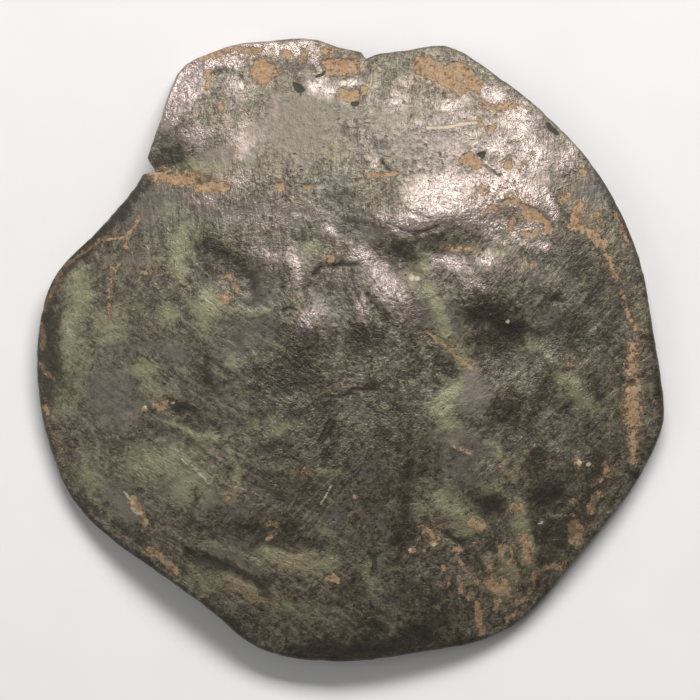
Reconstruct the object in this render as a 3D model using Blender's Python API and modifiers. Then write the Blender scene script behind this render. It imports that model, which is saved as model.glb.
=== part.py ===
"""A worn cup-shaped trachy coin of patinated copper alloy, lying on its rim with the convex side up.

Units are metres and +Z is up. The coin is one struck piece. Its origin is under the middle of the
flan, on the surface that the rim rests on, and its front, the top of the device, points along +Y.

The work follows the mint's own order: a flat flan with an irregular outline, struck between two dies
that dish it and raise the relief, then worn. Places on the faces are hundredths of the half width,
from the middle of the coin, +x to the right and +y up. Strengths are hundredths of a named depth.
"""

import math
from collections import namedtuple

import bmesh
import bpy
import numpy as np
from mathutils import Matrix, Vector

MM = 0.001

# Driving sizes
COIN_WIDTH = 29.0 * MM
FLAN_THICKNESS = 0.76 * MM
DISH_RISE = 3.60 * MM
RIM_LIFT = 0.50 * MM
REST_WEAR = 0.08 * MM
EDGE_ROUNDING = 0.26 * MM
FRONT_RELIEF = 0.55 * MM
BACK_RELIEF = 0.20 * MM

# Shape of the dish: the power of its profile, and how far round the rim it evens the outline out
DISH_POWER = 2.1
DISH_EVENING = math.radians(40)

# The bearings of the rim's three low spots, and how far to each side of one the rim may dip
FIRST_FOOT = math.radians(85)
FEET = [FIRST_FOOT + math.radians(120) * step for step in range(3)]
FOOT_SECTOR = math.radians(60)

# Fineness of the modelled surface, and how often the coin is tipped before it lies level
FLAN_CELLS = 42
OUTLINE_STEPS = 8
RIDGE_STEPS = 10
EVENING_STEPS = 41
EDGE_SEGMENTS = 2
SHARP_EDGE = math.radians(60)
SETTLING_STEPS = 4

# How far a cutter runs on past what it cuts
CUTTER_OVERRUN = 3

HALF_WIDTH = COIN_WIDTH / 2
HUNDREDTH = HALF_WIDTH / 100

# The flan's outline, clockwise from the split at the upper left, at the places where it turns
OUTLINE = [
    (-64.8, 61.0), (-60.7, 73.4), (-56.5, 86.1), (-52.1, 91.6), (-45.4, 94.7), (-35.8, 97.8),
    (-25.0, 98.8), (-15.1, 99.7), (-9.1, 98.6), (-1.8, 96.2), (8.1, 94.7), (16.4, 95.5),
    (28.5, 97.3), (33.9, 96.0), (41.2, 91.6), (60.7, 76.6), (78.8, 56.8), (91.6, 31.1),
    (96.7, 5.6), (100.0, -15.4), (98.9, -27.2), (89.6, -45.1), (73.1, -65.8), (57.2, -84.2),
    (42.8, -92.5), (22.1, -96.7), (-4.0, -99.5), (-28.2, -95.7), (-47.0, -81.4), (-63.9, -69.3),
    (-80.4, -57.2), (-91.9, -42.2), (-99.2, -17.7), (-99.7, 4.6), (-94.4, 23.4), (-80.1, 38.4),
    (-69.9, 50.2), (-66.1, 56.1),
]

# A split of the edge: where it opens on the rim, the way it points outward, how wide and how deep
Split = namedtuple("Split", "name bearing outward opening depth")
SPLITS = [
    Split("split_left", 138.4, 157.7, 65.6, 0.55 * MM),
    Split("split_top", 86.7, 70.8, 106.0, 0.27 * MM),
]

# A form is an oval swell or dip: its place, half length, half width above and below its long axis,
# turn in degrees and strength. A ridge is a worn line of relief along a path.
Form = namedtuple("Form", "name x y length above below turn strength")
Ridge = namedtuple("Ridge", "name path width strength")

FRONT_FORMS = [
    Form("upper mound", 29, 41, 14, 10, 6, 11, 115),
    Form("mound's left foot", 15, 43, 6, 6, 6, 0, 20),
    Form("hollow above the upper mound", 25, 58, 13, 5, 5, 5, -22),
    Form("hollow under the upper mound", 15, 27, 12, 5, 5, -22, -50),
    Form("second mound", 43, 22, 13, 8, 9, 8, 85),
    Form("deep hollow", 46, -1, 14, 9, 10, 4, -95),
    Form("deep hollow, left end", 29, -9, 8, 5, 5, 10, -30),
    Form("deep hollow, right end", 63, 4, 8, 5, 5, -10, -30),
    Form("middle lump, left", -13, 9, 8, 7, 6, 0, 55),
    Form("middle lump, right", 11, 15, 7, 8, 8, -20, 50),
    Form("dip between the lumps", -6, 20, 5, 5, 5, 0, -28),
    Form("dip above the lumps", -16, 34, 7, 4, 4, 0, -20),
    Form("left hollow", -43, 26, 8, 6, 6, -15, -40),
    Form("lump under the left hollow", -42, 12, 7, 6, 6, 0, 30),
    Form("low place under the left ridge", -19, -11, 9, 6, 6, 20, -28),
    Form("left fold hollow", -52, -25, 13, 6, 6, 8, -40),
    Form("left belly", -51, -44, 14, 9, 7, -12, 50),
    Form("left belly, right end", -34, -51, 11, 5, 5, -8, 32),
    Form("low groove", -20, -62, 14, 5, 5, -6, -34),
    Form("lower swell", -22, -80, 19, 7, 7, -10, 22),
    Form("small knob", 7, -78, 4, 4, 4, 0, 22),
    Form("lower dip", 14, -61, 10, 6, 6, 12, -25),
    Form("lower right dip", 57, -54, 7, 10, 10, -10, -32),
    Form("dip beside it", 37, -52, 5, 5, 5, 0, -20),
    Form("broad swell", 25, -24, 10, 7, 7, 0, 22),
    Form("right swell", 42, -42, 9, 6, 6, 10, 24),
    Form("lower right swell", 32, -67, 9, 9, 9, 0, 25),
    Form("right hollow", 50, -24, 9, 8, 8, 0, -38),
    Form("right shoulder", 70, -38, 10, 5, 5, 8, 26),
    Form("right rim lump", 92, -28, 5, 8, 8, 0, 20),
    Form("right rim hollow", 86, 8, 5, 15, 15, 0, -18),
    Form("upper right trough", 34, 80, 18, 6, 6, -18, -26),
    Form("lobe edge lump", -53, 74, 6, 8, 8, 30, 34),
    Form("lobe dip", -30, 76, 10, 8, 8, 0, -16),
    Form("sunken place at the split", -58, 57, 9, 6, 6, -10, -34),
    Form("lobe swell", -8, 76, 9, 14, 11, 0, 18),
    Form("left edge trough", -80, 30, 9, 5, 5, 40, -26),
    Form("left dip", -76, 11, 9, 4, 4, 0, -14),
    Form("right middle swell", 56, 47, 12, 5, 5, -12, 26),
    Form("small right lump", 62, 22, 6, 4, 4, 0, 18),
    Form("left swell", -84, -5, 8, 10, 10, 0, 12),
]
FRONT_RIDGES = [
    Ridge("bow over the left hollow", [(-44, 50), (-38, 35), (-28, 28), (-19, 21)], 5, 18),
    Ridge("left ridge", [(-50, 10), (-45, -1), (-33, -11)], 5, 22),
    Ridge("slanting ridge", [(21, 22), (30, 10), (40, -7)], 4, 38),
    Ridge("turn of the slanting ridge", [(40, -6), (33, -17), (27, -28)], 4, 18),
    Ridge("right ridge", [(57, 4), (70, -9), (79, -26)], 5, 22),
    Ridge("low ridge", [(-41, -66), (-22, -71), (-5, -71)], 5, 16),
    Ridge("left fold", [(-59, -21), (-41, -29), (-2, -41)], 4, 10),
    Ridge("lower right fold", [(52, -48), (55, -58), (57, -67)], 4, 20),
    Ridge("middle fold", [(28, -47), (35, -52), (41, -58)], 4, 14),
    Ridge("right border line", [(82, 41), (89, 16), (92, -11)], 3, 14),
    Ridge("lower left border line", [(-71, -48), (-60, -58), (-49, -67)], 3, 16),
]

# The hidden side is plainer: what is left of a border ring, and broad worn swells with no device
BACK_FORMS = [
    Form("tall worn swell", -20, 6, 13, 34, 40, 0, 80),
    Form("smaller worn swell", 26, -4, 10, 26, 26, -6, 55),
    Form("dip between the swells", 4, 10, 6, 20, 20, 0, -50),
    Form("low cross swell", 2, -46, 34, 7, 7, -4, 45),
    Form("side dip, left", -56, 12, 9, 18, 18, 10, -30),
    Form("side dip, right", 58, 20, 9, 16, 16, -12, -30),
]
BACK_RING = 0.86
BACK_RING_WIDTH = 0.035
BACK_RING_STRENGTH = 0.9

COIN_COLOUR = (0.105, 0.088, 0.064, 1.0)
COIN_ROUGHNESS = 0.42
COIN_METALLIC = 0.35


def clear_scene():
    """Removes whatever the file opened with."""
    for thing in list(bpy.data.objects):
        bpy.data.objects.remove(thing, do_unlink=True)


def new_collection(name):
    """Adds a named collection to the scene."""
    collection = bpy.data.collections.new(name)
    bpy.context.scene.collection.children.link(collection)
    return collection


def smooth_line(before, start, end, after, steps):
    """The smooth curve from start to end, led by the point before and the point after them."""
    share = np.linspace(0, 1, steps, endpoint=False)[:, None]
    square_term = (2 * before - 5 * start + 4 * end - after) * share**2
    cube_term = (3 * start - before - 3 * end + after) * share**3
    return 0.5 * (2 * start + (end - before) * share + square_term + cube_term)


def smooth_ring(points, steps):
    """A closed smooth curve through the points, with so many steps from each one to the next."""
    count = len(points)
    stretches = [
        smooth_line(points[i - 1], points[i], points[(i + 1) % count], points[(i + 2) % count], steps)
        for i in range(count)
    ]
    return np.concatenate(stretches)


def smooth_path(points, steps):
    """An open smooth curve through the points."""
    points = [points[0], *points, points[-1]]
    stretches = [smooth_line(*points[i:i + 4], steps) for i in range(len(points) - 3)]
    return np.concatenate(stretches)


def flan_ring():
    """The outline in metres, with the middle of its box at the origin and its full width across."""
    ring = smooth_ring(np.array(OUTLINE), OUTLINE_STEPS)
    low = ring.min(axis=0)
    high = ring.max(axis=0)
    return (ring - (low + high) / 2) * COIN_WIDTH / (high[0] - low[0])


FLAN_RING = flan_ring()


def outline_reach(bearing):
    """How far the flan reaches from its middle at each bearing."""
    bearings = np.arctan2(FLAN_RING[:, 1], FLAN_RING[:, 0])
    order = np.argsort(bearings)
    reaches = np.hypot(FLAN_RING[:, 0], FLAN_RING[:, 1])
    return np.interp(bearing, bearings[order], reaches[order], period=2 * math.pi)


def even_reach(bearing):
    """The outline's reach evened out round the rim, which the round dies follow."""
    offsets = np.linspace(-2, 2, EVENING_STEPS) * DISH_EVENING
    weights = np.exp(-(offsets / DISH_EVENING) ** 2)
    reaches = [weight * outline_reach(bearing + offset) for weight, offset in zip(weights, offsets)]
    return sum(reaches) / sum(weights)


def disc_place(u, v):
    """Bends a square of side 2 into rings: each square ring becomes a ring of the flan's outline."""
    share = max(abs(u), abs(v))
    if share == 0:
        return Vector((0, 0, 0))
    if abs(u) >= abs(v):
        bearing = math.pi / 4 * v / u + (math.pi if u < 0 else 0)
    else:
        bearing = math.pi / 2 - math.pi / 4 * u / v + (math.pi if v < 0 else 0)
    reach = share * outline_reach(bearing)
    return Vector((reach * math.cos(bearing), reach * math.sin(bearing), 0))


def flan_sheet(collection):
    """The upper face of the flat flan, as one open sheet with the true outline."""
    mesh = bpy.data.meshes.new("flan_sheet")
    sheet = bmesh.new()
    bmesh.ops.create_grid(sheet, x_segments=FLAN_CELLS, y_segments=FLAN_CELLS, size=1)
    for vertex in sheet.verts:
        vertex.co = disc_place(vertex.co.x, vertex.co.y)
    bmesh.ops.triangulate(sheet, faces=sheet.faces, quad_method="SHORT_EDGE")
    bmesh.ops.recalc_face_normals(sheet, faces=sheet.faces)
    if sum(face.normal.z for face in sheet.faces) < 0:
        bmesh.ops.reverse_faces(sheet, faces=sheet.faces)
    sheet.to_mesh(mesh)
    sheet.free()
    flan = bpy.data.objects.new("flan", mesh)
    collection.objects.link(flan)
    return flan


def baked_mesh(thing, name):
    """The object's mesh with its modifiers worked in."""
    graph = bpy.context.evaluated_depsgraph_get()
    mesh = bpy.data.meshes.new_from_object(thing.evaluated_get(graph))
    mesh.name = name
    return mesh


def form_height(x, y, form):
    """The height of one oval swell, as a share of the relief's depth."""
    turn = math.radians(form.turn)
    right = x / HUNDREDTH - form.x
    up = y / HUNDREDTH - form.y
    along = right * math.cos(turn) + up * math.sin(turn)
    across = up * math.cos(turn) - right * math.sin(turn)
    width = np.where(across > 0, form.above, form.below)
    return form.strength / 100 * np.exp(-(along / form.length) ** 2 - (across / width) ** 2)


def ridge_height(x, y, ridge):
    """The height of one worn line of relief, which fades out at both ends."""
    path = smooth_path(np.array(ridge.path, float), RIDGE_STEPS)
    height = np.zeros(x.shape)
    for spot, share in zip(path, np.linspace(-1, 1, len(path))):
        gap = np.hypot(x / HUNDREDTH - spot[0], y / HUNDREDTH - spot[1])
        height = np.maximum(height, (1 - share**4) * np.exp(-(gap / ridge.width) ** 2))
    return ridge.strength / 100 * height


def dish_height(x, y):
    """How high the dies push the flan's upper face, on an uneven rim with three low spots."""
    bearing = np.arctan2(y, x)
    share = np.hypot(x, y) / even_reach(bearing)
    dome = DISH_RISE * (1 - share**DISH_POWER)
    wave = (1 - np.cos(len(FEET) * (bearing - FIRST_FOOT))) / 2
    return dome + RIM_LIFT * wave * share**2


def front_relief(x, y):
    """The worn relief of the convex side."""
    height = sum(form_height(x, y, form) for form in FRONT_FORMS)
    height = height + sum(ridge_height(x, y, ridge) for ridge in FRONT_RIDGES)
    return FRONT_RELIEF * height


def back_relief(x, y):
    """The plainer relief of the hollow side."""
    share = np.hypot(x, y) / outline_reach(np.arctan2(y, x))
    ring = BACK_RING_STRENGTH * np.exp(-((share - BACK_RING) / BACK_RING_WIDTH) ** 2)
    return BACK_RELIEF * (ring + sum(form_height(x, y, form) for form in BACK_FORMS))


def strike(mesh):
    """Dishes the flat flan and raises both faces, as the two dies did."""
    count = len(mesh.vertices)
    places = np.empty(count * 3)
    mesh.vertices.foreach_get("co", places)
    places = places.reshape(count, 3)
    x, y, z = places.T
    upper = z > -FLAN_THICKNESS / 2
    top = front_relief(x, y)
    bottom = -FLAN_THICKNESS - back_relief(x, y)
    places[:, 2] = dish_height(x, y) + np.where(upper, top, bottom)
    mesh.vertices.foreach_set("co", places.ravel())
    mesh.update()


def round_edge(coin):
    """Rounds the upper and lower corners of the rim."""
    bevel = coin.modifiers.new("rounded edge", "BEVEL")
    bevel.limit_method = "ANGLE"
    bevel.angle_limit = SHARP_EDGE
    bevel.width = EDGE_ROUNDING
    bevel.segments = EDGE_SEGMENTS
    bevel.use_clamp_overlap = True


def cut(coin, cutter, collection):
    """Takes the cutter's shape out of the coin."""
    cutter.hide_render = True
    cutter.display_type = "WIRE"
    collection.objects.link(cutter)
    boolean = coin.modifiers.new(cutter.name, "BOOLEAN")
    boolean.operation = "DIFFERENCE"
    boolean.object = cutter


def split_cutter(split):
    """A three-sided wedge whose point lies at the root of the split."""
    bearing = math.radians(split.bearing)
    outward = math.radians(split.outward)
    reach = float(outline_reach(bearing))
    height = CUTTER_OVERRUN * (DISH_RISE + FLAN_THICKNESS)
    length = CUTTER_OVERRUN * split.depth
    half_mouth = length * math.tan(math.radians(split.opening / 2))
    wedge = bmesh.new()
    bmesh.ops.create_cone(wedge, cap_ends=True, segments=3, radius1=1, radius2=1, depth=2 * height)
    tip = max(vertex.co.y for vertex in wedge.verts)
    base = min(vertex.co.y for vertex in wedge.verts)
    half_base = max(vertex.co.x for vertex in wedge.verts)
    for vertex in wedge.verts:
        along = (tip - vertex.co.y) / (tip - base) * length
        across = vertex.co.x / half_base * half_mouth
        vertex.co = (along, across, vertex.co.z)
    bmesh.ops.recalc_face_normals(wedge, faces=wedge.faces)
    mesh = bpy.data.meshes.new(split.name)
    wedge.to_mesh(mesh)
    wedge.free()
    cutter = bpy.data.objects.new(split.name, mesh)
    root = Vector((reach * math.cos(bearing), reach * math.sin(bearing), 0))
    root -= split.depth * Vector((math.cos(outward), math.sin(outward), 0))
    cutter.matrix_world = Matrix.Translation(root) @ Matrix.Rotation(outward, 4, "Z")
    return cutter


def ground_cutter():
    """A block with its top at the resting surface, which takes the wear off the rim's low spots."""
    side = CUTTER_OVERRUN * COIN_WIDTH
    block = bmesh.new()
    bmesh.ops.create_cube(block, size=side)
    mesh = bpy.data.meshes.new("resting_wear")
    block.to_mesh(mesh)
    block.free()
    cutter = bpy.data.objects.new("resting_wear", mesh)
    cutter.location.z = -side / 2
    return cutter


def worked_places(coin):
    """The places of the coin's points, with its modifiers worked in."""
    bpy.context.view_layer.update()
    evaluated = coin.evaluated_get(bpy.context.evaluated_depsgraph_get())
    return np.array([vertex.co for vertex in evaluated.data.vertices])


def lay_down(coin):
    """Tips the coin until its lowest spots near the three feet lie level, as it settles on a table."""
    for _ in range(SETTLING_STEPS):
        places = worked_places(coin)
        bearing = np.arctan2(places[:, 1], places[:, 0])
        spots = []
        for foot in FEET:
            near = places[np.cos(bearing - foot) > math.cos(FOOT_SECTOR)]
            spots.append(near[near[:, 2].argmin()])
        across, along, up = np.array(spots).T
        tip = np.linalg.solve(np.stack([across, along, np.ones(3)], axis=1), up)
        for vertex in coin.data.vertices:
            vertex.co.z -= tip[0] * vertex.co.x + tip[1] * vertex.co.y + tip[2]
    coin.location.z = -worked_places(coin)[:, 2].min() - REST_WEAR


def patina():
    """The dark worn finish of the copper alloy."""
    material = bpy.data.materials.new("worn_copper_alloy")
    material.use_nodes = True
    shader = material.node_tree.nodes["Principled BSDF"]
    shader.inputs["Base Color"].default_value = COIN_COLOUR
    shader.inputs["Roughness"].default_value = COIN_ROUGHNESS
    shader.inputs["Metallic"].default_value = COIN_METALLIC
    return material


def make_coin(parts, cutters):
    """Strikes the coin, wears it, and lays it on the rim's low spots."""
    flan = flan_sheet(parts)
    thicken = flan.modifiers.new("thickness", "SOLIDIFY")
    thicken.thickness = FLAN_THICKNESS
    thicken.offset = -1
    bpy.context.view_layer.update()
    mesh = baked_mesh(flan, "coin")
    bpy.data.objects.remove(flan, do_unlink=True)
    strike(mesh)
    mesh.materials.append(patina())
    mesh.shade_smooth()
    mesh.set_sharp_from_angle(angle=SHARP_EDGE)
    coin = bpy.data.objects.new("coin", mesh)
    parts.objects.link(coin)
    round_edge(coin)
    lay_down(coin)
    for split in SPLITS:
        cut(coin, split_cutter(split), cutters)
    cut(coin, ground_cutter(), cutters)
    return coin


clear_scene()
make_coin(new_collection("trachy_coin"), new_collection("cutters"))
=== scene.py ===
# %% [markdown]
# A worn cup-shaped coin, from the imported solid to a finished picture.
# The solid already has the true outline, the cup and the main forms of the worn relief. This lesson
# lays a much finer skin over it, and gives that skin the patina, earth and scratches of a coin that
# was buried for centuries. Everything is in metres, +Z up, with the convex side facing the camera.

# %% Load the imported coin
import math
from collections import namedtuple

import bpy
import numpy as np
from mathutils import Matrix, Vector
from mathutils.bvhtree import BVHTree


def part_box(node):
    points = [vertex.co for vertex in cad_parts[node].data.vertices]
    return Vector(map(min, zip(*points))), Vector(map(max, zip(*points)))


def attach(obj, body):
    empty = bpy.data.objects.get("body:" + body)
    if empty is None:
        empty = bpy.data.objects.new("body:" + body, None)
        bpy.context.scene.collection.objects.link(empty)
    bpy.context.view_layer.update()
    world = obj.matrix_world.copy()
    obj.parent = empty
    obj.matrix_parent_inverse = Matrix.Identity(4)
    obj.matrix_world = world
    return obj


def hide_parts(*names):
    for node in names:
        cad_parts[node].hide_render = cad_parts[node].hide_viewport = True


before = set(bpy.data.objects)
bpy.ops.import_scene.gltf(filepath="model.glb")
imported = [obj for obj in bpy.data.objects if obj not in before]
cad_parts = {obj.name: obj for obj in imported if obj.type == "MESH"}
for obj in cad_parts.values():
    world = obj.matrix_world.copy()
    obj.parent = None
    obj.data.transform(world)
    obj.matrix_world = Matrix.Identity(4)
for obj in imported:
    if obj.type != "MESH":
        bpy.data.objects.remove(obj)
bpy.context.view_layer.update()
MM = 0.001
COIN_NODE = "coin"
low_corner, high_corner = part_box(COIN_NODE)
coin_width = high_corner.x - low_corner.x
print("the solid is", [round(side / MM, 2) for side in high_corner - low_corner], "mm")

# %% [markdown]
# Features are easiest to place where they are seen, so their places are pixels of a 700 pixel square
# picture that looks straight down on the coin. The coin is 628 pixels wide there, with its middle
# near the picture's middle, and one pair of functions goes from pixels to metres and back.

# %% Places in the picture
PICTURE = 700
COIN_ACROSS = 628
MIDDLE = (350.5, 349.5)
PIXEL = coin_width / COIN_ACROSS


def to_pixels(x, y):
    """Where a place on the coin is seen in the picture."""
    return MIDDLE[0] + x / PIXEL, MIDDLE[1] - y / PIXEL


print("one pixel is", round(PIXEL / MM, 4), "mm")

# %% [markdown]
# The skin keeps the solid's form, so it starts by measuring it. Rays straight down and straight up
# read the height of both faces on a fine square grid. A facet's edges would show in a glossy
# surface, so each face is split into a smooth bowl, a polynomial, and what is left over, the relief,
# and only the relief is softened, by about half the size of a facet.

# %% Measure the faces of the solid
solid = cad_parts[COIN_NODE].data
solid_tree = BVHTree.FromPolygons(
    [vertex.co.copy() for vertex in solid.vertices],
    [list(face.vertices) for face in solid.polygons],
)
GRID_STEP = 0.1 * MM
GRID_MARGIN = 4
GRID_HALF = math.ceil(coin_width / 2 / GRID_STEP) + GRID_MARGIN
RAY_START = 5 * MM
ABOVE = high_corner.z + RAY_START
BELOW = low_corner.z - RAY_START
HALVINGS = 20
DOWN = Vector((0, 0, -1))
UP = Vector((0, 0, 1))


def ray_height(x, y, start, direction):
    """The height at which a vertical ray meets the solid, or None."""
    spot = solid_tree.ray_cast(Vector((x, y, start)), direction)[0]
    return None if spot is None else spot.z


def reach_at(bearing):
    """How far the solid reaches from the middle at one bearing, found by halving."""
    inner = 0.0
    outer = coin_width
    for _ in range(HALVINGS):
        middle = (inner + outer) / 2
        if ray_height(middle * math.cos(bearing), middle * math.sin(bearing), ABOVE, DOWN) is None:
            outer = middle
        else:
            inner = middle
    return inner


grid_line = np.arange(-GRID_HALF, GRID_HALF + 1) * GRID_STEP
grid_x, grid_y = np.meshgrid(grid_line, grid_line)
flat_x = grid_x.ravel()
flat_y = grid_y.ravel()
top_grid = np.array([ray_height(x, y, ABOVE, DOWN) for x, y in zip(flat_x, flat_y)], float)
under_grid = np.array([ray_height(x, y, BELOW, UP) for x, y in zip(flat_x, flat_y)], float)
print("measured", int(np.isfinite(top_grid).sum()), "places on each face")

# %% Read the outline
SKIN_CELLS = 264
RIM_COUNT = 4 * SKIN_CELLS
rim_bearings = (np.arange(RIM_COUNT) - SKIN_CELLS / 2) * 2 * math.pi / RIM_COUNT
rim_reach = np.array([reach_at(bearing) for bearing in rim_bearings])
SOFT_REACH_DEGREES = 3
soft_steps = int(SOFT_REACH_DEGREES / 360 * RIM_COUNT)
soft_shifts = np.arange(-3 * soft_steps, 3 * soft_steps + 1)
soft_weights = np.exp(-((soft_shifts / soft_steps) ** 2))
shifted = [weight * np.roll(rim_reach, shift) for weight, shift in zip(soft_weights, soft_shifts)]
soft_reach = sum(shifted) / soft_weights.sum()


def around(values, bearing):
    """Reads a value that is known all round the rim at any bearing."""
    return np.interp(bearing, rim_bearings, values, period=2 * math.pi)


print("the rim reaches", round(rim_reach.min() / MM, 2), "to", round(rim_reach.max() / MM, 2), "mm")

# %% Split each face into a smooth bowl and its relief
EDGE_SHARE = 0.965
BOWL_DEGREE = 6
SOFTENING = 0.38 * MM


def bowl_terms(x, y):
    """The powers of x and y that make up the bowl."""
    u = x / (coin_width / 2)
    v = y / (coin_width / 2)
    powers = [(i, j) for i in range(BOWL_DEGREE + 1) for j in range(BOWL_DEGREE + 1 - i)]
    return np.stack([u**i * v**j for i, j in powers], axis=-1)


def blurred(field, distance):
    """Softens a square field of values by a Gaussian of that distance."""
    steps = int(math.ceil(3 * distance / GRID_STEP))
    weights = np.exp(-0.5 * (np.arange(-steps, steps + 1) * GRID_STEP / distance) ** 2)
    weights /= weights.sum()
    soft = np.apply_along_axis(np.convolve, 0, field, weights, "same")
    return np.apply_along_axis(np.convolve, 1, soft, weights, "same")


def read_grid(field, x, y):
    """Reads a square field of values between its grid places."""
    column = np.clip(x / GRID_STEP + GRID_HALF, 0, 2 * GRID_HALF - 1e-6)
    row = np.clip(y / GRID_STEP + GRID_HALF, 0, 2 * GRID_HALF - 1e-6)
    left = column.astype(int)
    low = row.astype(int)
    right_share = column - left
    high_share = row - low
    lower = field[low, left] * (1 - right_share) + field[low, left + 1] * right_share
    upper = field[low + 1, left] * (1 - right_share) + field[low + 1, left + 1] * right_share
    return lower * (1 - high_share) + upper * high_share


def face_height(heights):
    """Turns measured heights into a smooth function of x and y that runs on past the rim."""
    share = np.hypot(flat_x, flat_y) / around(rim_reach, np.arctan2(flat_y, flat_x))
    known = np.isfinite(heights) & (share < EDGE_SHARE)
    terms = bowl_terms(flat_x, flat_y)
    factors = np.linalg.lstsq(terms[known], heights[known], rcond=None)[0]
    relief = np.where(known, heights - terms @ factors, 0).reshape(grid_x.shape)
    weight = known.astype(float).reshape(grid_x.shape)
    soft = blurred(relief, SOFTENING) / np.maximum(blurred(weight, SOFTENING), 1e-3)
    return lambda x, y: bowl_terms(x, y) @ factors + read_grid(soft, x, y)


top_face = face_height(top_grid)
under_face = face_height(under_grid)
print("top of the bowl at", round(float(top_face(np.zeros(1), np.zeros(1))[0]) / MM, 2), "mm")

# %% [markdown]
# A corroded surface is uneven at every size. Value noise makes that: random numbers at the corners of
# a square lattice, joined smoothly. The same numbers come out on every run, because each call starts
# its random numbers from its own seed.

# %% Noise
LATTICE = 128
FALL = 0.58


def noise(x, y, size, seed):
    """Smooth noise from -1 to 1 with bumps of about the given size."""
    values = np.random.RandomState(seed).uniform(-1, 1, (LATTICE, LATTICE))
    u = x / size
    v = y / size
    i = np.floor(u).astype(int)
    j = np.floor(v).astype(int)
    a = u - i
    b = v - j
    a = a * a * (3 - 2 * a)
    b = b * b * (3 - 2 * b)
    i0 = i % LATTICE
    i1 = (i + 1) % LATTICE
    j0 = j % LATTICE
    j1 = (j + 1) % LATTICE
    low = values[j0, i0] * (1 - a) + values[j0, i1] * a
    high = values[j1, i0] * (1 - a) + values[j1, i1] * a
    return low * (1 - b) + high * b


def rugged(x, y, size, seed, octaves):
    """Several layers of noise, each half the size and nearly half the height of the one before."""
    layers = [noise(x, y, size / 2**k, seed + k) * FALL**k for k in range(octaves)]
    return sum(layers) / sum(FALL**k for k in range(octaves))


print("noise at the middle:", round(float(noise(np.zeros(1), np.zeros(1), MM, 1)[0]), 3))

# %% [markdown]
# Marks on the coin are of three kinds. An oval is a swell or a soft patch, a strip is a ridge, a
# scratch or a crack along a smooth path, and a patch is a flake with straight broken sides. All
# answer one question: how far from the mark's middle is this place, with 1 at its edge. Their places
# and half widths are pixels of the picture. To keep long lists readable, a mark is written as one row
# of numbers, with its strength in hundredths, and two functions turn such rows into marks.

# %% Ovals, strips and patches
Oval = namedtuple("Oval", "x y length width turn strength")
Strip = namedtuple("Strip", "path width strength")
Patch = namedtuple("Patch", "path width strength")
PATH_STEPS = 6


def ovals(rows):
    """Ovals from rows: x, y, half length, half width, strength, and a turn in degrees if it has one."""
    marks = []
    for x, y, length, width, strength, *turn in rows:
        marks.append(Oval(x, y, length, width, turn[0] if turn else 0, strength / 100))
    return marks


def drawn(kind, rows):
    """Strips or patches from rows: half width, strength, then the x and y of each point of the path."""
    marks = []
    for width, strength, *places in rows:
        marks.append(kind(list(zip(places[::2], places[1::2])), width, strength / 100))
    return marks


def smooth_path(points):
    """A smooth curve through a few points."""
    points = np.array([points[0], *points, points[-1]], float)
    share = np.linspace(0, 1, PATH_STEPS, endpoint=False)[:, None]
    stretches = []
    for a, b, c, d in zip(points, points[1:], points[2:], points[3:]):
        bend = (2 * a - 5 * b + 4 * c - d) * share**2 + (3 * b - a - 3 * c + d) * share**3
        stretches.append(0.5 * (2 * b + (c - a) * share + bend))
    return np.concatenate([*stretches, points[-1:]])


def gap_to_line(path, px, py):
    """How many pixels each place is from a line of straight stretches."""
    nearest = np.full(px.shape, np.inf)
    for start, end in zip(path[:-1], path[1:]):
        run = end - start
        length = max(run @ run, 1e-9)
        share = np.clip(((px - start[0]) * run[0] + (py - start[1]) * run[1]) / length, 0, 1)
        gap = np.hypot(px - start[0] - share * run[0], py - start[1] - share * run[1])
        nearest = np.minimum(nearest, gap)
    return nearest


def inside(path, px, py):
    """Whether each place is inside a closed line."""
    within = np.zeros(px.shape, bool)
    for start, end in zip(path[:-1], path[1:]):
        if start[1] == end[1]:
            continue
        crossing = start[0] + (py - start[1]) * (end[0] - start[0]) / (end[1] - start[1])
        within ^= ((start[1] > py) != (end[1] > py)) & (px < crossing)
    return within


def distance_to(mark, px, py):
    """How far each place is from the mark's middle, with 1 at its edge."""
    if isinstance(mark, Oval):
        turn = math.radians(mark.turn)
        right = px - mark.x
        up = mark.y - py
        along = right * math.cos(turn) + up * math.sin(turn)
        across = up * math.cos(turn) - right * math.sin(turn)
        return np.hypot(along / mark.length, across / mark.width)
    if isinstance(mark, Strip):
        return gap_to_line(smooth_path(mark.path), px, py) / mark.width
    path = np.array([*mark.path, mark.path[0]], float)
    gap = gap_to_line(path, px, py) / mark.width
    return np.maximum(1 + np.where(inside(path, px, py), -gap, gap), 0)


def near(mark, px, py):
    """Which places are close enough to a mark to be touched by it."""
    spots = np.array([(mark.x, mark.y)] if isinstance(mark, Oval) else mark.path, float)
    margin = 3 * max(mark.length, mark.width) if isinstance(mark, Oval) else 3 * mark.width + 3
    low = spots.min(axis=0) - margin
    high = spots.max(axis=0) + margin
    return (px > low[0]) & (px < high[0]) & (py > low[1]) & (py < high[1])


def relief_of(marks, px, py):
    """Adds up swells and dips with soft flanks."""
    total = np.zeros(px.shape)
    for mark in marks:
        here = near(mark, px, py)
        total[here] += mark.strength * np.exp(-distance_to(mark, px[here], py[here]) ** 2)
    return total


def cover_of(marks, px, py):
    """How surely each place lies in one of the patches: 0.5 at an edge, towards 1 inside."""
    cover = np.zeros(px.shape)
    for mark in marks:
        here = near(mark, px, py)
        share = np.clip(1 - distance_to(mark, px[here], py[here]) / 2, 0, 1)
        cover[here] = np.maximum(cover[here], mark.strength * share)
    return cover


print("a strip of 3 points is drawn with", len(smooth_path([(0, 0), (5, 5), (9, 0)])), "points")

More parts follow.
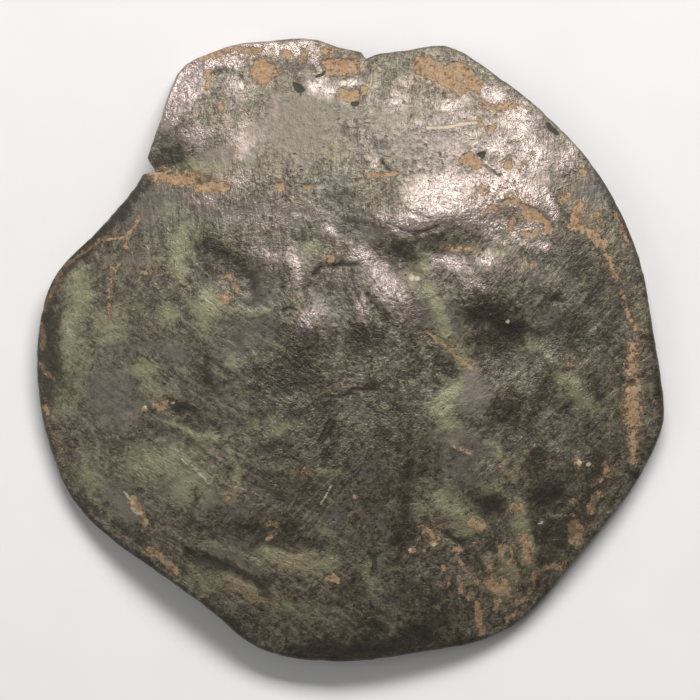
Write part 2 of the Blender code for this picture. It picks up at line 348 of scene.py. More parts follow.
# %% [markdown]
# The solid carries the main forms. This is the finer relief that the wear has left on top of them, in
# hundredths of a millimetre: the sharp lip under the upper mound, creases, the long crack that runs
# in from the left split, flaked edges, pits and scratches.

# %% Finer relief of the convex side
FINE_SWELLS = ovals([
    (430, 213, 40, 10, 6, 8), (500, 190, 34, 20, 5, -10), (293, 269, 18, 6, 8, -72),
    (310, 320, 27, 10, 9, -60), (384, 286, 32, 18, 6, -58), (372, 262, 16, 10, 4, -30),
    (332, 234, 16, 8, 5, -35), (450, 270, 14, 8, 4, -30), (488, 268, 18, 9, 5, 30),
    (322, 300, 24, 16, -5), (216, 248, 16, 8, -6, -15), (250, 274, 24, 14, -7, -35),
    (262, 298, 14, 14, -5), (226, 300, 14, 10, 5, -40), (296, 362, 26, 14, -8, 35),
    (210, 375, 12, 22, -5, 15), (362, 338, 14, 12, -6), (488, 311, 26, 14, -8, 20),
    (508, 334, 26, 16, -8, -20), (552, 302, 9, 6, -7), (560, 328, 9, 6, -5, 20), (400, 260, 18, 12, -4),
    (186, 410, 16, 6, -6, -10), (330, 436, 8, 14, -6, 25), (332, 452, 9, 7, -5, 30),
    (280, 450, 24, 6, -5, -30), (282, 524, 16, 8, -6), (200, 498, 5, 12, -4), (404, 500, 10, 40, -5, 3),
    (505, 412, 18, 14, -5), (548, 400, 12, 20, -5, 20), (490, 505, 24, 10, -6, -20),
    (548, 494, 16, 10, -6), (546, 530, 16, 12, -5), (490, 596, 14, 12, 4), (575, 532, 9, 14, 4),
    (220, 130, 30, 16, 4, 40), (168, 154, 14, 11, -4, 10), (296, 120, 40, 30, -3),
    (530, 150, 34, 24, 4, -40), (560, 215, 10, 18, -5, 20), (556, 450, 10, 8, 5),
])
FINE_LINES = drawn(Strip, [
    (2.4, 4, 397, 225, 403, 231, 418, 231, 434, 227), (2.5, -4, 400, 212, 418, 215, 432, 222),
    (2.4, -3, 398, 236, 411, 236, 428, 232), (3, -4, 455, 198, 466, 204, 474, 202),
    (3, 5, 424, 130, 446, 128, 470, 125), (2.4, 8, 346, 268, 352, 292, 362, 320, 374, 348),
    (2.4, 7, 353, 270, 359, 292, 370, 322), (2.4, -8, 349, 269, 355, 292, 366, 322),
    (2.4, 6, 366, 284, 378, 300, 392, 316), (2.4, -6, 362, 290, 374, 306, 384, 322),
    (2.4, 5, 376, 282, 388, 294, 402, 304), (2.4, -4, 372, 262, 384, 272, 398, 288),
    (2.4, -4, 290, 252, 294, 270, 292, 292), (2.4, -5, 300, 312, 312, 326, 318, 342),
    (8, 6, 420, 258, 434, 292, 442, 330, 468, 368), (3, -5, 425, 332, 442, 343, 456, 358, 470, 372),
    (6, 5, 526, 338, 560, 372, 588, 404, 600, 432), (8, 4, 196, 292, 206, 312, 222, 344, 240, 366),
    (3, 4, 236, 310, 252, 313, 270, 311), (5, 5, 165, 420, 195, 435, 222, 442),
    (5, 4, 278, 466, 305, 470, 345, 480), (5, -7, 190, 552, 215, 561, 240, 575, 264, 586),
    (4, 5, 214, 546, 240, 556, 268, 573), (8, 4, 268, 552, 300, 556, 330, 562),
    (5, -4, 96, 510, 120, 530, 150, 548), (5, 3, 140, 520, 170, 548, 196, 572),
    (7, 5, 512, 502, 520, 528, 528, 560), (9, 5, 440, 506, 462, 516, 482, 528),
    (3, -6, 446, 534, 460, 539, 476, 535), (4, -5, 600, 250, 618, 285, 628, 312, 634, 332),
    (4, 4, 606, 246, 625, 284, 636, 316), (5, -4, 622, 350, 620, 390, 624, 436),
    (2.6, -4, 140, 215, 130, 236, 118, 268, 110, 300, 110, 318), (3, 4, 494, 442, 498, 456, 500, 468),
    (3, 5, 530, 446, 520, 460, 514, 476), (3, -5, 368, 552, 373, 560, 374, 568),
    (3, -4, 278, 254, 280, 272, 284, 290), (2.6, 5, 552, 196, 548, 208, 554, 222),
])
CRACK = drawn(Strip, [
    (4, -5, 150, 170, 168, 176, 186, 180, 206, 184, 226, 190),
    (2.5, -2, 226, 190, 252, 190, 278, 188, 308, 188), (2.5, -4, 366, 54, 370, 66, 366, 78),
    (2.4, -2, 292, 60, 294, 72, 296, 84, 304, 93, 314, 103), (2.4, -4, 483, 165, 491, 172, 498, 176),
    (2.4, -6, 382, 162, 385, 167, 389, 171),
])
SCRATCHES = drawn(Strip, [
    (2.4, -7, 314, 275, 322, 268, 342, 266, 360, 266), (2.4, -5, 302, 291, 305, 288, 310, 286),
    (2.4, -6, 394, 228, 408, 233, 426, 232, 438, 227), (2.4, -5, 283, 312, 290, 309, 298, 311),
    (2.4, -6, 336, 422, 330, 432, 322, 442), (2.4, -5, 330, 421, 324, 431, 319, 441),
    (2.4, 4, 331, 484, 326, 494, 320, 504), (2.4, 4, 183, 458, 188, 464),
    (2.4, 5, 194, 468, 200, 474, 209, 482), (2.4, 4, 448, 443, 458, 449, 472, 453),
    (2.4, -3, 324, 398, 340, 396, 352, 392), (2.4, -4, 352, 388, 366, 390, 380, 388),
    (2.4, 4, 464, 81, 472, 90, 481, 101), (2.4, 3, 136, 468, 140, 476), (2.4, -4, 195, 490, 198, 504),
])
PITS = ovals([
    (631, 382, 5, 5, -14), (481, 157, 6, 4, -5), (298, 87, 6, 4, -6, -40), (462, 484, 6, 4, -5),
    (507, 322, 4, 4, 5), (578, 463, 5, 5, 6), (588, 464, 4, 4, 5), (410, 549, 4, 4, 5),
    (434, 543, 4, 4, 5), (146, 408, 3, 3, 4), (330, 260, 4, 4, 4),
])
print(len(FINE_SWELLS), "swells,", len(FINE_LINES + CRACK + SCRATCHES), "lines and", len(PITS), "pits")

# %% [markdown]
# Where the patina has flaked, a thin layer is missing: the floor is a few hundredths of a millimetre
# lower and the edge is sharp. The first list is the floors that earth has filled, the second is bare
# floors, and the third is the thin raised rims that stand around some of them.

# %% Flakes
EARTH_FLAKES = drawn(Patch, [
    (3, 100, 258, 59, 272, 64, 275, 78, 263, 89, 252, 84, 248, 72),
    (3, 70, 322, 61, 345, 57, 362, 60, 359, 75, 345, 79, 325, 77),
    (3, 100, 338, 88, 352, 91, 361, 94, 360, 103, 349, 103, 338, 97),
    (2, 100, 362, 87, 367, 88, 366, 98, 361, 96),
    (3, 72, 412, 55, 426, 54, 442, 64, 460, 60, 466, 66, 486, 80,
     481, 97, 470, 90, 459, 99, 440, 86, 424, 80, 413, 70),
    (2.5, 100, 462, 155, 468, 152, 480, 161, 480, 169, 474, 170, 459, 164),
    (2.5, 95, 503, 161, 510, 159, 512, 170, 505, 172, 500, 168),
    (2.5, 95, 478, 117, 483, 120, 486, 128, 478, 127), (2.5, 90, 485, 128, 497, 124, 495, 132, 487, 134),
    (2.5, 100, 521, 205, 536, 211, 548, 219, 553, 230, 551, 239, 545, 234, 541, 223, 527, 222, 521, 216),
    (2.2, 100, 497, 204, 506, 199, 519, 202, 521, 208, 506, 205, 499, 210),
    (2.2, 100, 275, 186, 280, 183, 287, 188, 281, 195, 278, 192),
    (2.2, 100, 302, 187, 309, 185, 317, 186, 312, 190, 311, 193, 304, 191),
    (3, 100, 568, 522, 576, 518, 584, 524, 583, 538, 578, 546, 570, 541),
    (2.2, 100, 323, 579, 326, 572, 330, 575, 333, 569, 337, 574, 342, 574, 341, 581),
])
BARE_FLAKES = drawn(Patch, [
    (2.5, 100, 472, 190, 478, 184, 488, 184, 494, 191, 490, 199, 478, 199),
    (2.5, 100, 499, 208, 508, 206, 519, 210, 518, 221, 508, 224, 500, 219),
    (2.5, 100, 460, 169, 478, 172, 481, 177, 469, 179, 461, 176),
    (2.2, 100, 292, 82, 299, 84, 306, 91, 300, 94, 294, 90),
    (2.2, 100, 350, 103, 360, 102, 358, 108, 352, 107), (2.2, 100, 476, 154, 487, 153, 483, 161),
    (2.5, 100, 543, 120, 549, 122, 562, 134, 556, 138, 548, 132),
])
FLAKE_DEPTH = 0.030 * MM
FLAKE_RIMS = drawn(Strip, [
    (2.2, 2.5, 472, 191, 478, 183, 488, 183, 495, 191, 490, 200, 478, 200, 472, 191),
    (2.4, 3, 495, 545, 503, 542, 511, 547, 512, 558, 505, 563, 497, 558),
    (2.4, 3.5, 495, 214, 496, 203, 507, 197, 521, 201, 538, 209, 551, 217, 556, 232),
    (2.4, 3.5, 548, 190, 553, 203, 552, 214), (2.2, 3, 126, 491, 130, 500, 136, 512),
    (2.4, 3, 225, 63, 238, 66, 248, 71), (2.4, 3, 205, 66, 216, 64, 226, 65),
])
print(len(EARTH_FLAKES + BARE_FLAKES), "flaked places")

# %% [markdown]
# The height is a sum. First come the marks, moved a little to and fro so that their outlines look
# natural. Then come the unevenness of corroded metal, creases that grow stronger down the coin,
# wrinkles and grit. Heights are in metres, and sizes and spacings in pixels of the picture. A seed
# picks each layer of noise, and the hidden side's seeds are a hundred higher.

# %% The height that all of this adds
UNEVEN = 0.040 * MM
UNEVEN_SIZE = 34
UNEVEN_LAYERS = 4
UNEVEN_SEED = 71
CREASE = 0.018 * MM
CREASE_SPACING = 13
CREASE_SHARPNESS = 4
CREASE_SEED = 66
CREASES_GROW_FROM = 230
CREASES_GROW_OVER = 120
LEAST_CREASED = 0.25
WRINKLE = 0.007 * MM
WRINKLE_SPACING = 6.5
WRINKLE_BEND = 14
WRINKLE_BEND_SIZE = 40
WRINKLE_BEND_SEEDS = 9
WRINKLES_FULL_FROM = 60
WRINKLE_SEED = 81
GRIT = 0.012 * MM
GRIT_SIZE = 4.5
GRIT_SEED = 91
UNDER_UNEVEN_SIZE = 40
UNDER_GRIT_SIZE = 5
UNDER_SEEDS = 100
FLAKE_EDGE = 0.45
FLAKE_EDGE_WIDTH = 0.1
FLAKE_SMOOTHNESS = 0.7
WANDER_SIZE = 18
WANDER_LAYERS = 3
DOWNWARD_SEEDS = 50
SWELL_WANDER = 9
SWELL_WANDER_SEED = 11
LINE_WANDER = 2
LINE_SEED = 31
UNEVEN_WANDER = 8
UNEVEN_WANDER_SEED = 61
RING_RADIUS = 150


def wander(px, py, reach, seed):
    """Moves places a little to and fro, so that the listed marks get natural outlines."""
    right = rugged(px, py, WANDER_SIZE, seed, WANDER_LAYERS) * reach
    down = rugged(px, py, WANDER_SIZE, seed + DOWNWARD_SEEDS, WANDER_LAYERS) * reach
    return px + right, py + down


def wrinkles(px, py, seed):
    """Fine crests, drawn out outwards near the middle and along the rim further out."""
    bearing = np.arctan2(MIDDLE[1] - py, px - MIDDLE[0])
    reach = np.hypot(px - MIDDLE[0], py - MIDDLE[1])
    bent = rugged(px, py, WRINKLE_BEND_SIZE, seed + WRINKLE_BEND_SEEDS, 2) * WRINKLE_BEND
    ridges = noise(bearing * RING_RADIUS + bent, reach + bent, WRINKLE_SPACING, seed)
    return (1 - 2 * np.abs(ridges)) * np.clip(reach / WRINKLES_FULL_FROM, 0, 1)


def fine_relief(x, y):
    """Height added to the convex side, in metres."""
    px, py = to_pixels(x, y)
    wx, wy = wander(px, py, SWELL_WANDER, SWELL_WANDER_SEED)
    height = relief_of(FINE_SWELLS, wx, wy) * MM
    nx, ny = wander(px, py, LINE_WANDER, LINE_SEED)
    height += relief_of(FINE_LINES + CRACK + SCRATCHES + FLAKE_RIMS + PITS, nx, ny) * MM
    flaked = cover_of(EARTH_FLAKES + BARE_FLAKES, nx, ny)
    flaked = np.clip((flaked - FLAKE_EDGE) / FLAKE_EDGE_WIDTH, 0, 1)
    height -= FLAKE_DEPTH * flaked
    bx, by = wander(px, py, UNEVEN_WANDER, UNEVEN_WANDER_SEED)
    height += UNEVEN * rugged(bx, by, UNEVEN_SIZE, UNEVEN_SEED, UNEVEN_LAYERS)
    creased = np.clip((py - CREASES_GROW_FROM) / CREASES_GROW_OVER, LEAST_CREASED, 1)
    creases = 1 - np.abs(noise(bx, by, CREASE_SPACING, CREASE_SEED))
    height -= CREASE * creased * creases**CREASE_SHARPNESS
    height += WRINKLE * wrinkles(px, py, WRINKLE_SEED) * (1 - FLAKE_SMOOTHNESS * flaked)
    height += GRIT * noise(px, py, GRIT_SIZE, GRIT_SEED)
    return height


def plain_relief(x, y):
    """Height added to the hollow side, which is plainer, in metres."""
    px, py = to_pixels(x, y)
    height = UNEVEN * rugged(px, py, UNDER_UNEVEN_SIZE, UNEVEN_SEED + UNDER_SEEDS, UNEVEN_LAYERS)
    height = height + WRINKLE * wrinkles(px, py, WRINKLE_SEED + UNDER_SEEDS)
    return height + GRIT * noise(px, py, UNDER_GRIT_SIZE, GRIT_SEED + UNDER_SEEDS)


mound = fine_relief(np.array([4 * MM]), np.array([7 * MM]))
print("relief added at the upper mound:", round(float(mound[0] / MM), 3), "mm")

# %% [markdown]
# The skin is one closed mesh. A square grid is bent into rings, which gives even faces with no pole in
# the middle. The upper sheet is twice as fine as the hidden one, the rim between them is a rounded
# band, and faces with five corners join the fine band to the coarse sheet.

# %% Shape the skin
RIM_ROWS = 7
RIM_ROUNDING = 0.26 * MM
RIM_FULLNESS = 0.8
RIM_NIBBLE = 0.05 * MM
NIBBLE_SIZE = 7
NIBBLE_LIFT = 0.1
NIBBLE_SEED = 301
RIM_WOBBLE = 0.012 * MM
WOBBLE_SIZE = 5
WOBBLE_SEED = 340
RELIEF_FADE = 0.35 * MM
OUTLINE_BLEND = 0.1


def ring_share(cells):
    """For each corner of a square grid: how far out it lies, from 0 to 1, and its bearing."""
    line = np.linspace(-1, 1, cells + 1)
    u, v = np.meshgrid(line, line)
    share = np.maximum(np.abs(u), np.abs(v))
    safe_u = np.where(u == 0, 1, u)
    safe_v = np.where(v == 0, 1, v)
    wide = math.pi / 4 * v / safe_u + np.where(u < 0, math.pi, 0)
    tall = math.pi / 2 - math.pi / 4 * u / safe_v + np.where(v < 0, math.pi, 0)
    return share.ravel(), np.where(np.abs(u) >= np.abs(v), wide, tall).ravel()


def edge_loop(cells):
    """The grid's outer corners in order round the edge, from its lower right corner."""
    side = cells + 1
    right = [row * side + cells for row in range(cells)]
    top = [cells * side + cells - column for column in range(cells)]
    left = [(cells - row) * side for row in range(cells)]
    bottom = list(range(cells))
    return right + top + left + bottom


def grid_faces(cells, first):
    """The faces of a square grid whose corners start at a given number."""
    side = cells + 1
    faces = []
    for row in range(cells):
        for column in range(cells):
            a = first + row * side + column
            faces.append((a, a + 1, a + side + 1, a + side))
    return faces


nibble_x = np.cos(rim_bearings) * RING_RADIUS
nibble_y = np.sin(rim_bearings) * RING_RADIUS
nibbles = rugged(nibble_x, nibble_y, NIBBLE_SIZE, NIBBLE_SEED, 3)
nibbles = np.clip(nibbles + NIBBLE_LIFT, 0, 1)
fine_reach = rim_reach - RIM_NIBBLE * nibbles
inner_reach = fine_reach - RIM_ROUNDING


def sheet_places(cells):
    """The x and y of a sheet's corners, which follow the true outline only near the rim."""
    share, bearing = ring_share(cells)
    near_rim = np.clip((share - (1 - OUTLINE_BLEND)) / OUTLINE_BLEND, 0, 1)
    near_rim = near_rim**2 * (3 - 2 * near_rim)
    soft = around(soft_reach - RIM_ROUNDING, bearing)
    reach = share * (soft + (around(inner_reach, bearing) - soft) * near_rim)
    return reach * np.cos(bearing), reach * np.sin(bearing)


def rim_share(x, y):
    """How strongly relief is kept near the rim: it fades out at the very edge."""
    inward = around(fine_reach, np.arctan2(y, x)) - np.hypot(x, y)
    return np.clip(inward / RELIEF_FADE, 0, 1)


def top_height(x, y):
    """The height of the skin's convex side."""
    return np.minimum(top_face(x, y) + fine_relief(x, y) * rim_share(x, y), high_corner.z)


def under_height(x, y):
    """The height of the skin's hollow side, which never goes under the table."""
    return np.maximum(under_face(x, y) + plain_relief(x, y) * rim_share(x, y), low_corner.z)


top_x, top_y = sheet_places(SKIN_CELLS)
under_x, under_y = sheet_places(SKIN_CELLS // 2)
top_points = np.stack([top_x, top_y, top_height(top_x, top_y)], axis=-1)
under_points = np.stack([under_x, under_y, under_height(under_x, under_y)], axis=-1)
print("the sheets have", len(top_points), "and", len(under_points), "points")

# %% Round the rim
ROW_OFFSET = 40
edge_x = inner_reach * np.cos(rim_bearings)
edge_y = inner_reach * np.sin(rim_bearings)
edge_top = top_height(edge_x, edge_y)
edge_under = under_height(edge_x, edge_y)
rim_rings = []
for row in range(1, RIM_ROWS + 1):
    angle = math.pi / 2 - math.pi * row / (RIM_ROWS + 1)
    outward = math.cos(angle) ** RIM_FULLNESS
    upward = math.copysign(abs(math.sin(angle)) ** RIM_FULLNESS, math.sin(angle))
    wobble = noise(nibble_x, nibble_y + ROW_OFFSET * row, WOBBLE_SIZE, WOBBLE_SEED)
    wobble = RIM_WOBBLE * wobble * outward
    reach = np.minimum(inner_reach + RIM_ROUNDING * outward - np.abs(wobble), rim_reach)
    height = (edge_top + edge_under) / 2 + (edge_top - edge_under) / 2 * upward
    height = np.maximum(height + wobble, low_corner.z)
    ring = [reach * np.cos(rim_bearings), reach * np.sin(rim_bearings), height]
    rim_rings.append(np.stack(ring, axis=-1))
print("the rim band has", RIM_ROWS, "rows of", RIM_COUNT, "points")

# %% Join the skin
first_under = len(top_points)
first_rim = first_under + len(under_points)
skin_points = np.concatenate([top_points, under_points, *rim_rings])
faces = grid_faces(SKIN_CELLS, 0)
faces += [face[::-1] for face in grid_faces(SKIN_CELLS // 2, first_under)]
rows = [edge_loop(SKIN_CELLS)]
rows += [[first_rim + row * RIM_COUNT + k for k in range(RIM_COUNT)] for row in range(RIM_ROWS)]
for upper, lower in zip(rows[:-1], rows[1:]):
    for k in range(RIM_COUNT):
        after = (k + 1) % RIM_COUNT
        faces.append((upper[k], lower[k], lower[after], upper[after]))
coarse = [first_under + corner for corner in edge_loop(SKIN_CELLS // 2)]
last = rows[-1]
for k in range(len(coarse)):
    after = (k + 1) % len(coarse)
    middle = last[2 * k + 1]
    faces.append((last[2 * k], coarse[k], coarse[after], last[2 * after], middle))
skin_mesh = bpy.data.meshes.new("worn_coin")
skin_mesh.from_pydata(skin_points.tolist(), [], faces)
skin_mesh.validate()
skin_mesh.shade_smooth()
skin = bpy.data.objects.new("worn_coin", skin_mesh)
bpy.context.scene.collection.objects.link(skin)
skin_mesh.calc_loop_triangles()
print("the skin has", len(skin_mesh.loop_triangles), "triangles")

# %% [markdown]
# Colour starts as soft maps on the skin's points, one number per film: how surely a place is covered
# by it. The material later sharpens each map with fine noise, so an edge that was placed by a few
# ovals breaks up into grains as real corrosion does.
# Earth is what the ground left behind: light tan clay, dull and thick.

# %% Where earth clings
EARTH = EARTH_FLAKES + ovals([
    (330, 62, 56, 20, 50), (236, 54, 44, 12, 50), (446, 78, 60, 24, 50, 10), (508, 196, 56, 44, 46),
    (500, 262, 10, 5, 50), (592, 224, 18, 24, 50), (500, 585, 60, 46, 48), (186, 182, 56, 14, 52),
    (300, 562, 60, 14, 46), (632, 410, 18, 60, 52), (150, 270, 50, 40, 34), (110, 470, 50, 40, 32),
    (58, 440, 12, 50, 50, 15), (246, 590, 50, 13, 56, -25), (270, 112, 60, 30, 34), (286, 56, 8, 6, 85),
    (272, 72, 14, 8, 66), (304, 54, 6, 10, 70), (328, 50, 14, 8, 72, -10), (222, 108, 4, 9, 75, 10),
    (233, 151, 6, 6, 75), (524, 166, 7, 6, 66), (534, 155, 2.5, 2.5, 100), (583, 172, 4, 4, 95),
    (482, 190, 9, 7, 72), (532, 265, 7, 4, 80, -10), (594, 214, 5, 5, 85), (573, 499, 5, 4, 85),
    (576, 514, 3, 3, 80), (578, 463, 5.5, 5, 85), (515, 506, 6, 7, 95), (458, 549, 6, 4, 95),
    (443, 567, 3, 6, 80), (448, 584, 2.6, 6, 75), (542, 580, 5, 3, 80, 20), (468, 598, 5, 3, 75, 20),
    (434, 543, 4, 4, 100), (410, 549, 4, 4, 100), (424, 549, 3, 3, 90), (417, 537, 3, 3, 80),
    (355, 494, 3, 3, 80), (144, 523, 4, 4, 95), (229, 496, 8, 7, 66), (304, 471, 12, 6, 64, -10),
    (114, 267, 8, 6, 62), (146, 271, 6, 5, 72), (226, 299, 6, 6, 95), (330, 260, 4, 4, 100),
    (146, 408, 3.5, 3.5, 100), (612, 470, 24, 60, 38, -25), (582, 520, 22, 50, 38, -35),
    (644, 300, 14, 70, 36, 10), (440, 530, 30, 18, 44), (290, 590, 50, 20, 40, -10),
    (52, 420, 14, 50, 40, 10), (568, 362, 5, 4, 75),
]) + drawn(Strip, [
    (3, 74, 168, 586, 205, 617, 240, 646, 290, 664, 340, 668), (6, 60, 446, 252, 460, 250, 474, 252),
    (6, 72, 202, 56, 225, 52, 258, 50), (3, 95, 210, 72, 208, 80, 206, 89),
    (2.5, 85, 366, 176, 380, 177, 398, 173), (6, 68, 484, 105, 498, 108, 514, 106),
    (2.4, 90, 482, 212, 488, 207, 494, 209), (4, 80, 508, 232, 510, 226, 513, 222),
    (4, 85, 523, 233, 532, 236, 537, 232), (6, 90, 150, 174, 168, 177, 190, 181),
    (4, 68, 166, 167, 182, 171, 198, 176), (6, 90, 200, 190, 212, 187, 226, 188),
    (4, 80, 563, 204, 566, 198, 570, 196), (5, 88, 575, 224, 577, 214, 580, 206),
    (6, 80, 572, 226, 588, 232, 602, 244), (4, 74, 604, 254, 610, 266, 617, 282),
    (4.5, 68, 621, 294, 627, 310, 634, 328), (3, 75, 618, 216, 624, 230, 630, 246),
    (10, 70, 633, 346, 630, 366, 631, 384), (12, 80, 631, 390, 631, 404, 633, 420),
    (6, 70, 633, 420, 632, 440, 634, 462), (3.5, 90, 605, 464, 606, 470, 607, 476),
    (4, 75, 592, 486, 596, 483, 600, 481), (5, 85, 596, 494, 592, 502, 589, 510),
    (6, 90, 524, 538, 527, 548, 530, 560), (6, 85, 470, 522, 477, 526, 483, 526),
    (7, 66, 422, 528, 432, 534, 438, 538), (2.4, 90, 461, 560, 467, 569, 477, 580),
    (2.4, 78, 462, 581, 470, 584, 478, 584), (2.6, 90, 516, 604, 524, 598, 531, 588, 534, 577),
    (2.4, 85, 500, 545, 510, 546, 513, 556, 507, 563), (5, 75, 152, 549, 162, 560, 176, 570),
    (5, 100, 133, 500, 137, 506, 142, 512), (2.6, 95, 266, 522, 271, 520, 277, 524),
    (2.4, 80, 266, 538, 270, 535), (3, 95, 62, 272, 52, 290, 43, 308),
    (3, 75, 100, 240, 84, 252, 68, 266), (4, 100, 39, 322, 43, 332, 42, 346),
    (3, 85, 40, 364, 45, 372, 52, 380), (4, 75, 45, 404, 50, 412),
    (2.8, 76, 141, 214, 136, 226, 129, 236, 127, 247), (2.4, 75, 108, 238, 118, 237, 128, 236),
    (3, 68, 120, 262, 114, 276, 110, 296, 110, 317), (3, 72, 222, 278, 230, 276, 238, 284, 240, 292),
    (3.5, 95, 157, 404, 163, 407, 168, 402), (2.4, 90, 425, 332, 440, 342, 454, 354, 470, 368),
    (2.2, 74, 448, 443, 458, 449, 470, 453), (5, 52, 540, 440, 526, 454, 512, 476),
    (5, 52, 492, 444, 498, 456, 502, 470),
]) + drawn(Patch, [
    (3, 90, 455, 572, 461, 574, 464, 585, 463, 597, 457, 594, 458, 584),
    (5, 90, 484, 560, 492, 561, 491, 576, 499, 581, 510, 583, 513, 592,
     505, 600, 497, 597, 487, 590, 479, 582, 483, 572),
    (3, 92, 472, 597, 479, 600, 482, 612, 483, 626, 484, 637, 477, 638, 474, 622),
    (3, 95, 494, 599, 501, 600, 499, 612, 493, 610),
    (3, 92, 503, 618, 511, 612, 519, 606, 517, 615, 507, 624),
    (3, 88, 527, 578, 536, 568, 545, 562, 551, 566, 541, 572, 534, 581),
    (3, 92, 544, 560, 556, 562, 567, 559, 561, 568, 551, 569),
    (2.4, 95, 496, 545, 504, 543, 506, 550, 502, 557, 497, 558),
])
print(len(EARTH), "patches of earth")

# %% [markdown]
# Green is the copper salts' film, thickest on the ridges of the sunken right half and along the left
# rim. Grey is a violet grey film on the left. The pale film is a matte bloom near the top. Dark is
# bare brown-black oxide; along the lower and right rim, under the upper mound and in the hollow
# beside it, it is also painted shade, and it darkens much of the lower half. Sheen is metal that
# handling has rubbed bright, and also a painted highlight over the upper half, which faces the light;
# rough is where its skin is broken and pitted, and the chips are small dark green floors, three of
# them the bare flakes above.

# %% Where the films lie
GREEN = ovals([
    (532, 344, 14, 10, 90, -20), (492, 488, 12, 8, 85), (384, 548, 9, 8, 75), (112, 334, 18, 12, 82),
    (170, 210, 16, 14, 66), (205, 316, 12, 20, 90), (168, 312, 12, 13, 92), (214, 300, 16, 12, 95, -20),
    (146, 372, 18, 12, 100), (154, 390, 14, 10, 90), (185, 372, 8, 7, 82), (232, 360, 14, 10, 72, -30),
    (306, 250, 18, 14, 85, 20), (292, 606, 54, 18, 66, -10), (212, 545, 26, 16, 62, -20),
    (80, 370, 16, 60, 60), (160, 462, 46, 26, 88), (186, 492, 26, 18, 86, -20), (228, 496, 12, 9, 85),
    (284, 428, 20, 12, 82), (328, 532, 16, 10, 72, -20), (218, 170, 16, 12, 74, -10),
    (338, 152, 22, 14, 72), (225, 104, 10, 10, 62), (566, 200, 7, 9, 70), (578, 286, 14, 14, 62),
    (500, 250, 14, 8, 70, 20), (590, 232, 18, 14, 72), (200, 580, 34, 14, 72, -35),
    (420, 508, 12, 10, 75), (250, 582, 44, 13, 92, -25), (92, 478, 14, 40, 82, 20),
    (188, 480, 26, 18, 85), (108, 320, 24, 18, 85), (405, 278, 6, 6, 95), (532, 346, 10, 8, 95),
]) + drawn(Strip, [
    (8, 85, 428, 256, 416, 274, 406, 276), (9, 88, 428, 290, 438, 312, 442, 332, 456, 350, 470, 362),
    (12, 85, 452, 384, 440, 396, 440, 412, 450, 428), (11, 80, 560, 376, 578, 394, 596, 410),
    (12, 100, 440, 500, 458, 512, 474, 522), (7, 85, 446, 524, 460, 528, 474, 532),
    (8, 100, 516, 502, 518, 522, 526, 540, 530, 566), (10, 95, 484, 558, 490, 576, 504, 590),
    (7, 80, 506, 566, 512, 572, 508, 580), (7, 66, 366, 560, 368, 576, 374, 590),
    (14, 95, 78, 272, 78, 300, 70, 330, 70, 356), (12, 80, 46, 372, 58, 390, 68, 410),
    (11, 86, 180, 232, 182, 254, 180, 274), (6, 75, 150, 258, 164, 258),
    (4, 95, 232, 312, 252, 314, 270, 312), (6, 80, 167, 420, 194, 434, 218, 440),
    (6, 72, 540, 438, 526, 454, 512, 478), (6, 72, 490, 440, 498, 456, 504, 474),
    (8, 70, 226, 440, 236, 462, 238, 482), (7, 66, 274, 468, 304, 472, 336, 476),
    (12, 90, 264, 552, 296, 562, 330, 566), (7, 70, 186, 162, 196, 168, 208, 170),
])
GREY = ovals([
    (150, 206, 60, 26, 90, 20), (112, 396, 30, 34, 100), (264, 290, 20, 22, 100), (240, 342, 26, 22, 100),
    (336, 308, 16, 20, 90), (420, 308, 12, 22, 95, 10), (452, 322, 9, 24, 95, 10),
    (550, 318, 12, 11, 100), (536, 274, 12, 14, 90), (460, 470, 22, 34, 85), (484, 448, 20, 16, 80),
    (350, 410, 20, 12, 90, -20), (370, 470, 22, 16, 80), (120, 345, 34, 14, 70), (176, 352, 22, 18, 80),
    (592, 192, 16, 14, 95, -40), (332, 516, 14, 9, 90), (236, 510, 16, 10, 85),
    (240, 540, 34, 10, 80, -15), (140, 262, 22, 16, 70), (376, 520, 18, 20, 80), (334, 196, 26, 34, 80),
    (258, 334, 26, 18, 90), (230, 400, 130, 100, 46),
]) + drawn(Strip, [
    (18, 66, 190, 216, 250, 214, 320, 220), (12, 90, 334, 216, 346, 226, 372, 240),
])
PALE = ovals([
    (300, 124, 46, 42, 95, 10), (447, 141, 26, 12, 74, -5), (404, 150, 34, 24, 66),
    (240, 148, 16, 18, 95, -30), (258, 132, 22, 12, 85, 45), (216, 164, 16, 12, 75, 20),
    (244, 150, 26, 24, 80, 20), (276, 170, 26, 12, 62), (384, 118, 30, 26, 72), (414, 106, 18, 12, 60),
    (350, 112, 18, 14, 72), (416, 278, 10, 8, 95), (472, 394, 22, 22, 92), (470, 376, 14, 12, 90),
    (458, 434, 26, 22, 76), (124, 500, 34, 20, 80, -45), (196, 490, 34, 24, 88, -20),
    (222, 156, 26, 18, 90, 20), (176, 492, 22, 18, 70), (96, 476, 14, 34, 62, 20),
    (236, 568, 36, 15, 88, -25), (382, 560, 11, 11, 86), (110, 262, 14, 14, 62),
    (458, 528, 16, 8, 70, 20), (530, 338, 14, 14, 60), (448, 404, 8, 14, 70), (540, 176, 26, 18, 60),
    (322, 300, 16, 14, 70),
]) + drawn(Strip, [
    (5, 95, 434, 300, 441, 320, 448, 336),
])
